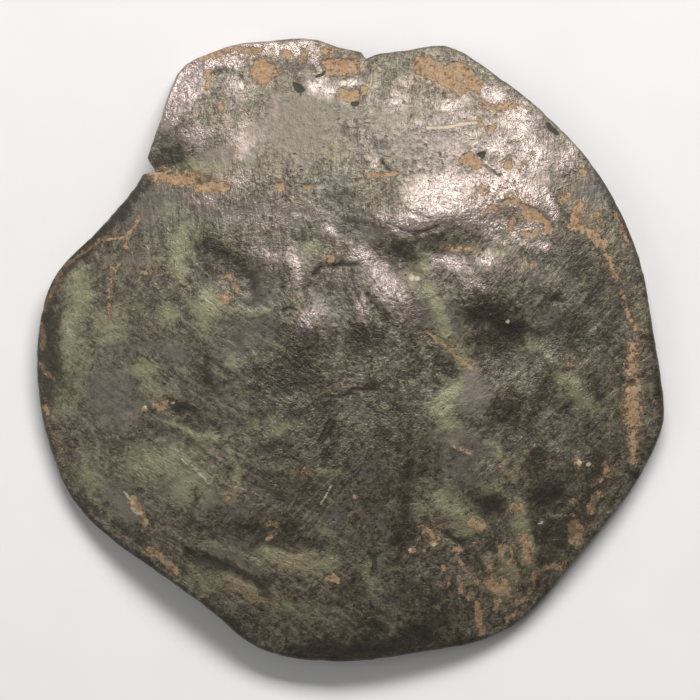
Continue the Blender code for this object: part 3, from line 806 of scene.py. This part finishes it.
# The dark film is oxide and partly painted shade: the ovals at the foot of the upper mound and in the
# hollow to its right paint shade where the relief turns away from the light.
DARK = ovals([
    (434, 238, 30, 7, 70, 8), (412, 150, 26, 20, 42), (403, 256, 20, 12, 82), (498, 344, 34, 14, 70),
    (552, 302, 10, 6, 100), (562, 328, 10, 7, 72, 20), (208, 376, 16, 24, 78, 10),
    (188, 410, 18, 7, 95, -10), (258, 384, 18, 38, 62), (160, 300, 26, 10, 56, 15),
    (362, 340, 18, 14, 95), (384, 330, 12, 10, 64), (344, 270, 30, 4, 64, 5), (374, 386, 24, 14, 76),
    (326, 410, 20, 16, 74), (382, 440, 14, 12, 72), (262, 412, 14, 12, 62), (332, 452, 9, 8, 100, 30),
    (322, 486, 11, 8, 72), (340, 488, 10, 8, 60), (290, 526, 22, 10, 72), (250, 524, 40, 10, 68, -5),
    (198, 498, 6, 14, 68), (278, 490, 24, 16, 60), (420, 470, 20, 30, 64), (430, 600, 26, 18, 68),
    (506, 412, 26, 20, 72), (488, 506, 28, 16, 74, -20), (462, 484, 6, 5, 72), (546, 496, 28, 20, 88),
    (546, 532, 18, 22, 70), (552, 576, 10, 7, 64, 20), (486, 596, 7, 6, 72), (446, 596, 10, 8, 72),
    (606, 330, 14, 50, 60, -20), (570, 336, 20, 40, 72, -20), (594, 384, 18, 30, 66),
    (618, 454, 10, 26, 62), (376, 200, 10, 14, 44), (476, 230, 18, 6, 52, -15), (532, 258, 26, 8, 64),
    (198, 288, 12, 10, 62), (346, 226, 26, 12, 80), (346, 202, 22, 16, 74), (330, 440, 90, 90, 46),
    (292, 240, 26, 10, 60), (230, 440, 18, 10, 62, -10), (296, 382, 34, 18, 94), (376, 486, 54, 60, 62),
    (530, 480, 50, 40, 50), (598, 290, 16, 32, 74, -20), (580, 262, 22, 36, 74),
    (300, 412, 40, 12, 72, -10), (306, 486, 34, 20, 64), (532, 458, 20, 28, 82), (564, 474, 16, 20, 60),
    (352, 582, 18, 28, 62), (438, 620, 28, 16, 80), (376, 622, 22, 14, 76), (548, 254, 12, 6, 72),
    (472, 66, 10, 5, 60, -30), (476, 70, 6, 6, 56),
]) + drawn(Strip, [
    (14, 86, 474, 310, 492, 316, 508, 326, 522, 336), (12, 72, 204, 244, 222, 250, 244, 266, 252, 284),
    (16, 62, 276, 330, 290, 350, 304, 372, 316, 350), (6, 72, 336, 422, 328, 434, 322, 444),
    (4, 72, 322, 470, 334, 470, 346, 466), (6, 64, 270, 446, 288, 456, 304, 468),
    (24, 60, 408, 400, 404, 450, 402, 520, 398, 560), (9, 82, 186, 550, 215, 561, 240, 575, 268, 590),
    (12, 68, 546, 380, 540, 402, 530, 424), (4, 76, 446, 534, 460, 539, 476, 535),
    (6, 78, 462, 548, 474, 556, 480, 566, 483, 576), (7, 80, 154, 162, 162, 153, 176, 149),
    # The long strips from here on mostly follow the rim; along the bottom and the right they paint shade
    # where the rounded edge turns away from the light.
    (6, 100, 150, 164, 164, 160, 180, 160), (7, 100, 148, 178, 126, 206, 98, 236, 62, 272, 42, 304),
    (5, 72, 40, 300, 35, 360, 40, 410), (8, 95, 40, 420, 60, 482, 100, 532, 150, 570, 205, 612),
    (14, 98, 205, 612, 262, 656, 340, 666, 420, 658, 490, 644),
    (8, 72, 490, 642, 536, 612, 584, 556, 640, 486),
    (8, 98, 640, 486, 666, 420, 656, 340, 640, 250, 600, 172), (12, 98, 52, 302, 48, 340, 50, 390),
    (15, 75, 600, 460, 584, 500, 560, 545, 530, 590), (16, 90, 300, 652, 360, 648, 430, 636),
    (13, 98, 656, 320, 659, 340, 660, 356),
])
# Sheen is partly rubbed metal and partly painted highlight: the four broad ovals brighten the whole upper
# half, which faces the light, and the strip along the top-left rim and the marks on the mounds paint its
# glints.
SHEEN = ovals([
    (456, 140, 160, 92, 51), (244, 128, 90, 60, 47), (300, 210, 110, 26, 44), (344, 276, 120, 56, 40),
    (204, 198, 24, 12, 60), (190, 90, 28, 17, 85, 50), (236, 88, 26, 18, 66), (234, 180, 26, 14, 66),
    (240, 146, 22, 22, 74), (200, 136, 22, 14, 66), (286, 48, 44, 8, 90), (302, 46, 12, 7, 85),
    (316, 84, 16, 12, 80), (316, 58, 6, 14, 85), (330, 90, 12, 9, 80), (350, 82, 14, 6, 80),
    (400, 102, 34, 30, 57), (448, 104, 30, 12, 66), (494, 96, 24, 14, 70, -35),
    (520, 122, 34, 26, 74, -45), (496, 150, 24, 16, 78), (534, 160, 26, 34, 74), (566, 158, 20, 24, 66),
    (470, 214, 34, 14, 80, 10), (382, 214, 13, 18, 58), (374, 166, 9, 8, 64, 40),
    (438, 198, 37, 28, 95, 6), (408, 222, 20, 12, 85), (504, 190, 42, 22, 100, -8),
    (450, 264, 24, 11, 82, -20), (488, 266, 17, 11, 68, 10), (470, 284, 22, 10, 66, -20),
    (500, 230, 34, 14, 76, -20), (532, 228, 16, 12, 80), (540, 245, 14, 8, 70), (296, 264, 9, 24, 78),
    (312, 318, 13, 26, 68, -35), (386, 286, 38, 20, 76, -58), (364, 258, 18, 9, 70),
    (360, 306, 10, 26, 64, 10), (270, 226, 60, 16, 44), (270, 256, 30, 10, 60, -20),
    (332, 232, 14, 7, 68, -40), (470, 430, 16, 40, 40, 10),
]) + drawn(Strip, [
    (15, 100, 166, 116, 174, 86, 194, 62, 228, 50, 262, 44), (6, 90, 240, 66, 226, 63, 206, 66),
    (6, 95, 544, 190, 552, 204, 554, 220),
])
ROUGH = ovals([
    (280, 276, 12, 30, 100, 10), (308, 324, 24, 30, 100, -35), (296, 376, 34, 34, 100, -20),
    (378, 314, 40, 44, 100, -20), (340, 420, 60, 40, 80), (384, 190, 18, 28, 50), (430, 212, 40, 20, 35),
    (232, 250, 22, 22, 80, -30), (480, 284, 40, 20, 80),
])
CHIP_STRENGTHS = (1.2, 1.1, 1.2)
CHIPS = [flake._replace(strength=share) for flake, share in zip(BARE_FLAKES[3:6], CHIP_STRENGTHS)]
CHIPS += drawn(Strip, [
    (2.4, 72, 316, 76, 322, 75, 324, 72), (2.6, 90, 371, 553, 374, 560, 374, 568),
]) + drawn(Patch, [
    (2.5, 86, 545, 122, 550, 123, 561, 134, 556, 136, 549, 131),
])
SPECKS = ovals([
    (507, 322, 3, 3, 95), (578, 463, 4.5, 4, 80), (588, 464, 3.5, 3, 95), (434, 543, 2.6, 2.6, 95),
    (410, 549, 2.6, 2.6, 95), (541, 522, 2.4, 2.4, 100), (412, 278, 10, 7, 70, 20), (417, 279, 5, 4, 86),
    (629, 374, 2.4, 2.4, 90), (538, 524, 2, 2, 80), (146, 407, 2.6, 2.6, 90), (174, 402, 3, 2.4, 80),
    (101, 512, 4, 3, 70), (556, 450, 6, 4, 62, 20),
]) + drawn(Strip, [
    (2.4, 82, 125, 491, 129, 497, 133, 503), (2.4, 85, 132, 508, 137, 513, 141, 513),
    # The last strip here paints a highlight in cream: the glint along a thin raised edge near the top,
    # which faces the light.
    (2.8, 66, 192, 464, 201, 473, 210, 483), (2.6, 86, 427, 129, 446, 128, 462, 125, 476, 123),
])
CUT_STRENGTH = 0.72
SCRAPE_STRENGTH = 0.66
CRACKED = [mark._replace(strength=CUT_STRENGTH) for mark in SCRATCHES + CRACK[4:] if mark.strength < 0]
CRACKED += ovals([(631, 382, 5, 5, 90)])
SCRAPED = [mark._replace(strength=SCRAPE_STRENGTH) for mark in SCRATCHES if mark.strength > 0]
UNDER_EARTH = ovals([
    (300, 300, 60, 90, 62, 20), (430, 420, 70, 50, 60), (350, 620, 160, 12, 70),
])
UNDER_GREEN = ovals([
    (220, 420, 90, 70, 70), (470, 230, 80, 60, 65, 30),
])
UNDER_DARK = ovals([
    (350, 350, 200, 200, 70),
])
FILMS = {
    "earth": (EARTH, UNDER_EARTH),
    "green": (GREEN, UNDER_GREEN),
    "grey": (GREY, []),
    "pale": (PALE, []),
    "dark": (DARK, UNDER_DARK),
    "sheen": (SHEEN, []),
    "rough": (ROUGH, []),
    "chip": (CHIPS, []),
    "crack": (CRACKED, []),
    "speck": (SPECKS + SCRAPED, []),
}
print("films:", ", ".join(FILMS))

# %% [markdown]
# The metal flowed as it was struck, and cleaning brushed it, so the finest wrinkles run in different
# directions: upright in the upper middle, level on the lobe, steep over the middle, and slanting to
# either side below. Each direction gets a map of where it rules.

# %% Which way the fine wrinkles run
FLOWS = {
    "upright": (90, ovals([
        (280, 200, 120, 60, 100), (420, 116, 60, 44, 90), (566, 190, 40, 60, 80),
    ])),
    "level": (8, ovals([
        (216, 104, 56, 40, 100, 20), (176, 152, 30, 20, 100), (430, 228, 50, 9, 90),
    ])),
    "falling": (-58, ovals([
        (380, 298, 30, 36, 100), (306, 326, 26, 30, 100),
    ])),
    "sliding": (-34, ovals([
        (190, 430, 120, 70, 100, -30), (250, 570, 110, 36, 100, -20), (250, 350, 60, 40, 100, -40),
    ])),
    "rising": (48, ovals([
        (486, 272, 44, 30, 100), (540, 440, 70, 70, 80), (570, 290, 50, 60, 80), (330, 440, 30, 50, 90),
        (300, 515, 50, 20, 80),
    ])),
}
for name, (turn, marks) in FLOWS.items():
    print("wrinkles at", turn, "degrees:", name)

# %% Lay the films on the skin
point_px, point_py = to_pixels(skin_points[:, 0], skin_points[:, 1])
FILM_WANDER = {"earth": 4, "speck": 1, "chip": 2, "crack": LINE_WANDER}
SOFT_FILM_WANDER = 9
FIRST_FILM_SEED = 400
FIRST_FLOW_SEED = 500
FLOW_EDGE = 2.2
FLOW_SHARE = 0.6
underside = np.zeros(len(skin_points), bool)
underside[first_under:first_rim] = True


def lay(name, values):
    """Keeps one number per point of the skin under a name the material can read."""
    layer = skin_mesh.attributes.new(name, "FLOAT", "POINT")
    layer.data.foreach_set("value", values.astype(np.float32))


for number, (film, (marks, under_marks)) in enumerate(FILMS.items()):
    seed = LINE_SEED if film == "crack" else FIRST_FILM_SEED + 7 * number
    wx, wy = wander(point_px, point_py, FILM_WANDER.get(film, SOFT_FILM_WANDER), seed)
    lay(film, np.where(underside, cover_of(under_marks, wx, wy), cover_of(marks, wx, wy)))
for name, (turn, marks) in FLOWS.items():
    wx, wy = wander(point_px, point_py, SOFT_FILM_WANDER, FIRST_FLOW_SEED + turn)
    ruled = np.clip(cover_of(marks, wx, wy) * FLOW_EDGE, 0, 1)
    lay(name, np.where(underside, 0, FLOW_SHARE * ruled))
print("laid", len(FILMS) + len(FLOWS), "maps on", len(skin_points), "points")

# %% [markdown]
# Dirt settles in hollows and wear polishes crests. One number tells them apart: how high a place
# stands over the average height of its surroundings. The material uses it only to darken the hollows.

# %% Hollows and crests
SETTLING = 0.45 * MM
CREST_HEIGHT = 0.03 * MM


def crest_of(height, x, y):
    """How high each place stands over its surroundings, as a share of the crest height."""
    field = height(flat_x, flat_y).reshape(grid_x.shape)
    return (height(x, y) - read_grid(blurred(field, SETTLING), x, y)) / CREST_HEIGHT


point_x = skin_points[:, 0]
point_y = skin_points[:, 1]
upper_crest = crest_of(lambda x, y: top_face(x, y) + fine_relief(x, y), point_x, point_y)
lower_crest = crest_of(lambda x, y: under_face(x, y) + plain_relief(x, y), point_x, point_y)
lay("crest", np.clip(np.where(underside, -lower_crest, upper_crest), -1, 1))
print("crests run from", round(float(upper_crest.min()), 1), "to", round(float(upper_crest.max()), 1))

# %% [markdown]
# Colours are chosen as sRGB hex values, the way a paint chart gives them, and Blender wants linear
# light, so one function converts them. Another small function adds a node, sets it up and links it,
# which keeps the material readable from top to bottom.

# %% Helpers for materials


def linear(hex_colour):
    """Turns an sRGB hex colour into linear red, green, blue and full alpha."""
    parts = [int(hex_colour[i:i + 2], 16) / 255 for i in (0, 2, 4)]
    light = [part / 12.92 if part <= 0.04045 else ((part + 0.055) / 1.055) ** 2.4 for part in parts]
    return (*light, 1)


def add(tree, kind, inputs, output=0, **settings):
    """Adds a node, sets its options, fills its inputs with values or links, and gives one output."""
    node = tree.nodes.new(kind)
    for name, value in settings.items():
        setattr(node, name, value)
    for key, value in inputs.items():
        socket = node.inputs[key]
        if isinstance(value, bpy.types.NodeSocket):
            tree.links.new(value, socket)
        else:
            socket.default_value = value
    return node.outputs[output] if node.outputs else None


def new_material(name):
    """A material with an empty node tree."""
    material = bpy.data.materials.new(name)
    material.use_nodes = True
    material.node_tree.nodes.clear()
    return material


print("half grey is", [round(part, 3) for part in linear("808080")])

# %% [markdown]
# The coin's finish is copper alloy under a burial patina: brown-black oxide and olive copper salts,
# worn semi-gloss on the high places. To the eye that is a dark, slightly metallic skin that throws
# broad soft highlights, broken into sparkle by a fine grain. Earth on it is bare clay: light, matte
# and a little raised. The colours are named for the film that each one is. The worn metal and the
# rubbed brown also paint highlight over the upper half, and oxide laid through the dark film paints
# shade in places.

# %% The patina's colours and gloss
BROWN = linear("61584d")
BROWN_OLIVE = linear("5e5846")
# Worn metal and the rubbed brown are the colour of rubbed metal, and also painted highlight where the sheen
# film lies.
WORN_METAL_AND_HIGHLIGHT = linear("a39790")
RUBBED_BROWN_AND_HIGHLIGHT = linear("6d6359")
OXIDE = linear("2d2a20")
OLIVE = linear("8c8a6c")
VIOLET_GREY = linear("68645e")
SAGE = linear("787265")
CLAY = linear("94775b")
CLAY_PALE = linear("aa9070")
CLAY_RED = linear("94714f")
CHIP_GREEN = linear("3a3c30")
CREAM = linear("b9ae96")
GREEN_BROWN = linear("5b604d")
PALE_GREEN = linear("a19d80")
RED_BROWN = linear("67564c")
DUST = linear("8f8773")
OXIDE_ROUGHNESS = 0.42
RUBBED_ROUGHNESS = 0.30
FILM_ROUGHNESS = 0.60
EARTH_ROUGHNESS = 0.90
OXIDE_METALLIC = 0.25
RUBBED_METALLIC = 0.70
print("worn metal reflects", round(WORN_METAL_AND_HIGHLIGHT[0], 2), "of red light and oxide", round(OXIDE[0], 3))

# %% [markdown]
# Corrosion grows in patches of many sizes, so the colours are broken up by noise at several real
# sizes. Real grains are a few hundredths of a millimetre, too fine for this picture, where one pixel
# is nearly five: the finest grain is drawn as coarse as it needs to show, two or three pixels wide.

# %% The patina's patterns
GRAIN_WIDTH = 0.12 * MM
GRAIN_LENGTH = 0.50 * MM
STREAK_WIDTH = 0.26 * MM
STREAK_LENGTH = 1.3 * MM
PIT_SPACING = 0.40 * MM
PIT_REACH = 0.24
PIT_EDGE = 0.02
PIT_FLOOR = -0.08
FOLD_WIDTH = 0.09
DRIFT = 0.38 * MM
BUMP_HEIGHT = 0.050 * MM
SMOOTH_BUMP = 0.5
ROUGH_BUMP = 0.7
PATTERNS = {
    "blotches": (1.1 * MM, 5, 0.6, 1.2),
    "patches": (0.65 * MM, 4, 0.6, 1.2),
    "mottle": (0.38 * MM, 4, 0.6, 1.2),
    "crinkle": (0.26 * MM, 3, 0.6, 0.6),
    "folds": (0.50 * MM, 3, 0.55, 0.8),
    "fray": (0.22 * MM, 5, 0.7, 0),
    "crumb": (0.15 * MM, 3, 0.65, 0.4),
    "speckle": (0.11 * MM, 2, 0.6, 0),
}
FILM_EDGES = {
    "green": ("green", "mottle", 0.7, 0.20, 0.95),
    "green core": ("green", "patches", 1.8, 0.86, 1.20),
    "grey": ("grey", "mottle", 0.5, 0.28, 0.80),
    "pale": ("pale", "blotches", 0.4, 0.30, 0.75),
    "dark": ("dark", "mottle", 0.7, 0.28, 0.90),
    "dark_crinkle": ("dark", "crinkle", 2.0, 0.40, 0.72),
    "earth": ("earth", "fray", 1.4, 0.45, 0.64),
    "outline": ("earth", "fray", 1.4, 0.39, 0.50),
    "stain": ("earth", "mottle", 1.0, 0.18, 0.75),
    "chip": ("chip", "fray", 0.4, 0.46, 0.56),
    "crack": ("crack", "fray", 0.6, 0.40, 0.70),
    "speck": ("speck", "fray", 0.6, 0.44, 0.72),
    "sheen": ("sheen", "mottle", 0.5, 0.22, 0.82),
    "rough": ("rough", "mottle", 0.4, 0.20, 0.80),
    "pitted": ("rough", "crumb", 2.0, 1.06, 1.30),
}
print("the grain is", round(GRAIN_WIDTH / PIXEL, 1), "by", round(GRAIN_LENGTH / PIXEL, 1), "pixels")

# %% [markdown]
# A film's map says roughly where it lies. Adding noise to the map before it is sharpened moves the
# edge to and fro, which frays it. The colours then go on like coats of paint, each through its own
# mask, from the ground colour up.


# %% Films and coats
def sharpened_films(tree, value):
    """Turns the maps laid on the skin into films with ragged edges."""
    for name, (film, pattern, fray, low, high) in FILM_EDGES.items():
        cover = add(tree, "ShaderNodeAttribute", {}, output="Fac", attribute_name=film)
        inputs = {0: value[pattern], 1: fray, 2: cover}
        ragged = add(tree, "ShaderNodeMath", inputs, operation="MULTIPLY_ADD")
        inputs = {"Value": ragged, "From Min": low + fray / 2, "From Max": high + fray / 2}
        value[name] = add(tree, "ShaderNodeMapRange", inputs, interpolation_type="SMOOTHSTEP")


def coated(tree, value, ground, coats):
    """Lays coats over a ground colour, each through a mask made from a pattern or film."""
    colour = ground
    for name, low, high, strength, coat in coats:
        inputs = {"Value": value[name], "From Min": low, "From Max": high, "To Max": strength}
        mask = add(tree, "ShaderNodeMapRange", inputs, interpolation_type="SMOOTHSTEP")
        colour = add(tree, "ShaderNodeMix", {0: mask, 6: colour, 7: coat}, output=2, data_type="RGBA")
    return colour


def raised(tree, value, height, rises):
    """Adds patterns and films to a height, each by its own share."""
    for name, rise in rises:
        inputs = {0: value[name], 1: rise, 2: height}
        height = add(tree, "ShaderNodeMath", inputs, operation="MULTIPLY_ADD")
    return height


def along_flows(tree, place, elsewhere, length, width):
    """Noise drawn out along each direction of flow, and another pattern where there is none."""
    streaks = elsewhere
    for name, (turn, marks) in FLOWS.items():
        inputs = {"Vector": place, "Rotation": (0, 0, math.radians(turn)), "Scale": (length, width, 1)}
        run = add(tree, "ShaderNodeMapping", inputs, vector_type="TEXTURE")
        inputs = {"Vector": run, "Scale": 1, "Detail": 3, "Distortion": 0.6}
        strokes = add(tree, "ShaderNodeTexNoise", inputs)
        share = add(tree, "ShaderNodeAttribute", {}, output="Fac", attribute_name=name)
        streaks = add(tree, "ShaderNodeMix", {0: share, 2: streaks, 3: strokes})
    return streaks


print(len(PATTERNS), "patterns fray", len(FILM_EDGES), "films")


# %% The patina's material
def patina_material():
    """Copper alloy, struck, buried for centuries and worn."""
    material = new_material("struck copper alloy with burial patina")
    tree = material.node_tree
    place = add(tree, "ShaderNodeTexCoord", {}, output="Object")
    value = {"crest": add(tree, "ShaderNodeAttribute", {}, output="Fac", attribute_name="crest")}
    for name, (size, detail, roughness, twist) in PATTERNS.items():
        inputs = {"Vector": place, "Scale": 1 / size, "Detail": detail, "Roughness": roughness}
        value[name] = add(tree, "ShaderNodeTexNoise", {**inputs, "Distortion": twist})
    sharpened_films(tree, value)

    value["grain"] = along_flows(tree, place, value["crinkle"], GRAIN_LENGTH, GRAIN_WIDTH)
    value["streaks"] = along_flows(tree, place, value["patches"], STREAK_LENGTH, STREAK_WIDTH)

    inputs = {0: value["folds"], 1: 0.5, 2: 0.0}
    from_middle = add(tree, "ShaderNodeMath", inputs, operation="SUBTRACT")
    from_middle = add(tree, "ShaderNodeMath", {0: from_middle}, operation="ABSOLUTE")
    inputs = {"Value": from_middle, "From Max": FOLD_WIDTH}
    value["fold lines"] = add(tree, "ShaderNodeMapRange", inputs)

    inputs = {"Vector": place, "Scale": 1 / DRIFT, "Detail": 2}
    drift = add(tree, "ShaderNodeTexNoise", inputs, output="Color")
    inputs = {0: drift, 1: (PIT_SPACING, PIT_SPACING, PIT_SPACING), 2: place}
    drifted = add(tree, "ShaderNodeVectorMath", inputs, operation="MULTIPLY_ADD")
    inputs = {"Vector": drifted, "Scale": 1 / PIT_SPACING}
    gap = add(tree, "ShaderNodeTexVoronoi", inputs, output="Distance")
    number = add(tree, "ShaderNodeTexVoronoi", inputs, output="Color")
    inputs = {0: number, 1: -PIT_REACH, 2: gap}
    gap = add(tree, "ShaderNodeMath", inputs, operation="MULTIPLY_ADD")
    inputs = {"Value": gap, "From Min": PIT_EDGE, "From Max": PIT_FLOOR}
    value["pits"] = add(tree, "ShaderNodeMapRange", inputs, interpolation_type="SMOOTHSTEP")

    clay_coats = [
        ("fray", 0.40, 0.62, 1, CLAY_PALE),
        ("blotches", 0.54, 0.70, 0.9, CLAY_RED),
        ("patches", 0.50, 0.66, 0.45, DUST),
        ("speckle", 0.46, 0.34, 0.22, OXIDE),
    ]
    clay = coated(tree, value, CLAY, clay_coats)
    patina_coats = [
        ("blotches", 0.35, 0.65, 1, BROWN_OLIVE),
        ("patches", 0.50, 0.64, 0.70, GREEN_BROWN),
        ("patches", 0.46, 0.33, 0.65, RED_BROWN),
        ("blotches", 0.54, 0.70, 0.35, DUST),
        ("blotches", 0.44, 0.32, 0.40, OXIDE),
        ("mottle", 0.50, 0.66, 0.52, DUST),
        ("mottle", 0.48, 0.32, 0.70, OXIDE),
        ("streaks", 0.51, 0.62, 0.62, DUST),
        ("streaks", 0.48, 0.37, 0.74, OXIDE),
        ("crumb", 0.45, 0.34, 0.50, OXIDE),
        ("crumb", 0.57, 0.69, 0.35, DUST),
        ("speckle", 0.48, 0.34, 0.42, OXIDE),
        ("speckle", 0.56, 0.68, 0.32, DUST),
        ("fold lines", 0.16, 0, 0.25, OXIDE),
        ("grey", 0, 1, 0.55, VIOLET_GREY),
        ("pale", 0, 1, 0.80, SAGE),
        ("green", 0, 1, 0.80, OLIVE),
        ("green core", 0, 1, 0.60, PALE_GREEN),
        # The dark film's oxide is partly painted shade, and so is the dark crinkle further down, which
        # follows it.
        ("dark", 0, 1, 0.62, OXIDE),
        ("crest", 0, -0.8, 0.45, OXIDE),
        # These two coats colour rubbed metal and also paint highlight over the upper half, which faces the
        # light.
        ("sheen", 0.05, 0.45, 0.72, RUBBED_BROWN_AND_HIGHLIGHT),
        ("sheen", 0, 1, 0.90, WORN_METAL_AND_HIGHLIGHT),
        ("pitted", 0, 1, 0.70, OXIDE),
        ("stain", 0, 1, 0.45, clay),
        ("outline", 0, 1, 0.30, OXIDE),
        ("earth", 0, 1, 0.85, clay),
        ("dark_crinkle", 0, 1, 0.60, OXIDE),
        ("grain", 0.50, 0.32, 0.34, OXIDE),
        ("pits", 0, 1, 0.55, OXIDE),
        ("crack", 0, 1, 0.80, OXIDE),
        ("chip", 0, 1, 1, CHIP_GREEN),
        ("speck", 0, 1, 1, CREAM),
    ]
    colour = coated(tree, value, BROWN, patina_coats)

    dull = value["earth"]
    for name in ("chip", "speck", "crack"):
        dull = add(tree, "ShaderNodeMath", {0: dull, 1: value[name]}, operation="MAXIMUM")
    inputs = {"Value": value["sheen"], "To Min": OXIDE_ROUGHNESS, "To Max": RUBBED_ROUGHNESS}
    roughness = add(tree, "ShaderNodeMapRange", inputs)
    for name, share in (("green", 0.7), ("pale", 0.8), ("crumb", 0.15)):
        amount = add(tree, "ShaderNodeMath", {0: value[name], 1: share}, operation="MULTIPLY")
        roughness = add(tree, "ShaderNodeMix", {0: amount, 2: roughness, 3: FILM_ROUGHNESS})
    roughness = add(tree, "ShaderNodeMix", {0: dull, 2: roughness, 3: EARTH_ROUGHNESS})
    inputs = {"Value": value["sheen"], "To Min": OXIDE_METALLIC, "To Max": RUBBED_METALLIC}
    metallic = add(tree, "ShaderNodeMapRange", inputs)
    metallic = add(tree, "ShaderNodeMix", {0: dull, 2: metallic, 3: 0.0})

    smooth = add(tree, "ShaderNodeMath", {0: value["grey"], 1: dull}, operation="MAXIMUM")
    smooth = add(tree, "ShaderNodeMath", {0: smooth, 1: value["pale"]}, operation="MAXIMUM")
    lively = add(tree, "ShaderNodeMapRange", {"Value": smooth, "To Min": 1.0, "To Max": SMOOTH_BUMP})
    inputs = {0: value["rough"], 1: ROUGH_BUMP, 2: lively}
    lively = add(tree, "ShaderNodeMath", inputs, operation="MULTIPLY_ADD")
    height = raised(tree, value, value["grain"], (("mottle", 0.8), ("crinkle", 0.45), ("fold lines", 0.22)))
    height = add(tree, "ShaderNodeMath", {0: height, 1: lively}, operation="MULTIPLY")
    height = raised(tree, value, height, (("earth", 0.25), ("pits", -0.4), ("dark_crinkle", -0.2)))
    bump = add(tree, "ShaderNodeBump", {"Height": height, "Strength": 1.0, "Distance": BUMP_HEIGHT})
    inputs = {"Base Color": colour, "Roughness": roughness, "Metallic": metallic, "Normal": bump}
    shader = add(tree, "ShaderNodeBsdfPrincipled", inputs)
    add(tree, "ShaderNodeOutputMaterial", {"Surface": shader})
    return material


skin_mesh.materials.append(patina_material())
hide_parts(COIN_NODE)
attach(skin, "root")
print("the coin wears", skin_mesh.materials[0].name)

# %% [markdown]
# The coin lies on a plain pale board. Its finish is matt paint, with just enough unevenness to stop it
# looking like empty paper.

# %% The floor
FLOOR_SIDE = 1.2
FLOOR_GAP = 0.01 * MM
CLOUD_SIZE = 4 * MM
PAINT_DARKEST = 0.74
PAINT_LIGHTEST = 0.79
PAINT_ROUGHNESS = 0.85


def board_material():
    """Pale matt painted board."""
    material = new_material("pale matt painted board")
    tree = material.node_tree
    place = add(tree, "ShaderNodeTexCoord", {}, output="Object")
    cloud = add(tree, "ShaderNodeTexNoise", {"Vector": place, "Scale": 1 / CLOUD_SIZE, "Detail": 4})
    inputs = {"Value": cloud, "To Min": PAINT_DARKEST, "To Max": PAINT_LIGHTEST}
    tone = add(tree, "ShaderNodeMapRange", inputs)
    colour = add(tree, "ShaderNodeCombineColor", {0: tone, 1: tone, 2: tone})
    shader = add(tree, "ShaderNodeBsdfPrincipled", {"Base Color": colour, "Roughness": PAINT_ROUGHNESS})
    add(tree, "ShaderNodeOutputMaterial", {"Surface": shader})
    return material


floor_mesh = bpy.data.meshes.new("floor")
half = FLOOR_SIDE / 2
floor_corners = [(-half, -half, 0), (half, -half, 0), (half, half, 0), (-half, half, 0)]
floor_mesh.from_pydata(floor_corners, [], [(0, 1, 2, 3)])
floor = bpy.data.objects.new("floor", floor_mesh)
floor.location.z = low_corner.z - FLOOR_GAP
bpy.context.scene.collection.objects.link(floor)
floor_mesh.materials.append(board_material())
print("the floor is", FLOOR_SIDE, "m square")

# %% [markdown]
# The light comes from the top of the picture, low enough to rake across the relief: the slopes that
# face it shine and the lower half falls away into shade. A small soft box gives that. A weak wide one
# from the left keeps the shade readable, and a pale surround fills the rest.

# %% Lights
def soft_box(name, place, size, power, tint):
    """A soft box that looks at the coin."""
    light = bpy.data.lights.new(name, "AREA")
    light.shape = "RECTANGLE"
    light.size, light.size_y = size
    light.energy = power
    light.color = tint
    box = bpy.data.objects.new(name, light)
    box.location = place
    box.rotation_euler = (Vector((0, 0, 0)) - Vector(place)).to_track_quat("-Z", "Y").to_euler()
    box.visible_camera = False
    bpy.context.scene.collection.objects.link(box)


KEY_DISTANCE = 0.30
KEY_HEIGHT = math.radians(40)
KEY_BEARING = math.radians(78)
KEY_SIZE = (0.26, 0.08)
KEY_POWER = 1.30
KEY_TINT = (1.0, 0.96, 0.95)
FILL_PLACE = (-0.30, -0.05, 0.25)
FILL_SIZE = (0.3, 0.3)
FILL_POWER = 0.30
FILL_TINT = (1.0, 0.99, 0.95)
ROOM_COLOUR = linear("e8e8e8")
ROOM_STRENGTH = 0.25
key_place = (
    KEY_DISTANCE * math.cos(KEY_HEIGHT) * math.cos(KEY_BEARING),
    KEY_DISTANCE * math.cos(KEY_HEIGHT) * math.sin(KEY_BEARING),
    KEY_DISTANCE * math.sin(KEY_HEIGHT),
)
soft_box("key_light", key_place, KEY_SIZE, KEY_POWER, KEY_TINT)
soft_box("fill_light", FILL_PLACE, FILL_SIZE, FILL_POWER, FILL_TINT)
world = bpy.data.worlds.new("pale_room")
world.use_nodes = True
background = world.node_tree.nodes["Background"]
background.inputs["Color"].default_value = ROOM_COLOUR
background.inputs["Strength"].default_value = ROOM_STRENGTH
bpy.context.scene.world = world
bpy.context.scene.view_settings.view_transform = "Standard"
print("the key light stands", round(math.degrees(KEY_HEIGHT)), "degrees above the table")

# %% [markdown]
# The camera looks straight down through a long lens, from 40 cm, so the cup's height barely changes
# the coin's outline. The frame is as wide as the picture is in pixels times the size of one pixel.

# %% Camera
CAMERA_HEIGHT = 0.40
SENSOR = 36.0
FRAMED_HEIGHT = 0.8 * MM
lens = bpy.data.cameras.new("camera")
lens.sensor_width = SENSOR
lens.lens = SENSOR * (CAMERA_HEIGHT - FRAMED_HEIGHT) / (PICTURE * PIXEL)
lens.clip_start = 0.01
lens.clip_end = 10
camera = bpy.data.objects.new("camera", lens)
camera.location = ((PICTURE / 2 - MIDDLE[0]) * PIXEL, (MIDDLE[1] - PICTURE / 2) * PIXEL, CAMERA_HEIGHT)
bpy.context.scene.collection.objects.link(camera)
bpy.context.scene.camera = camera
print("the lens is", round(lens.lens), "mm")
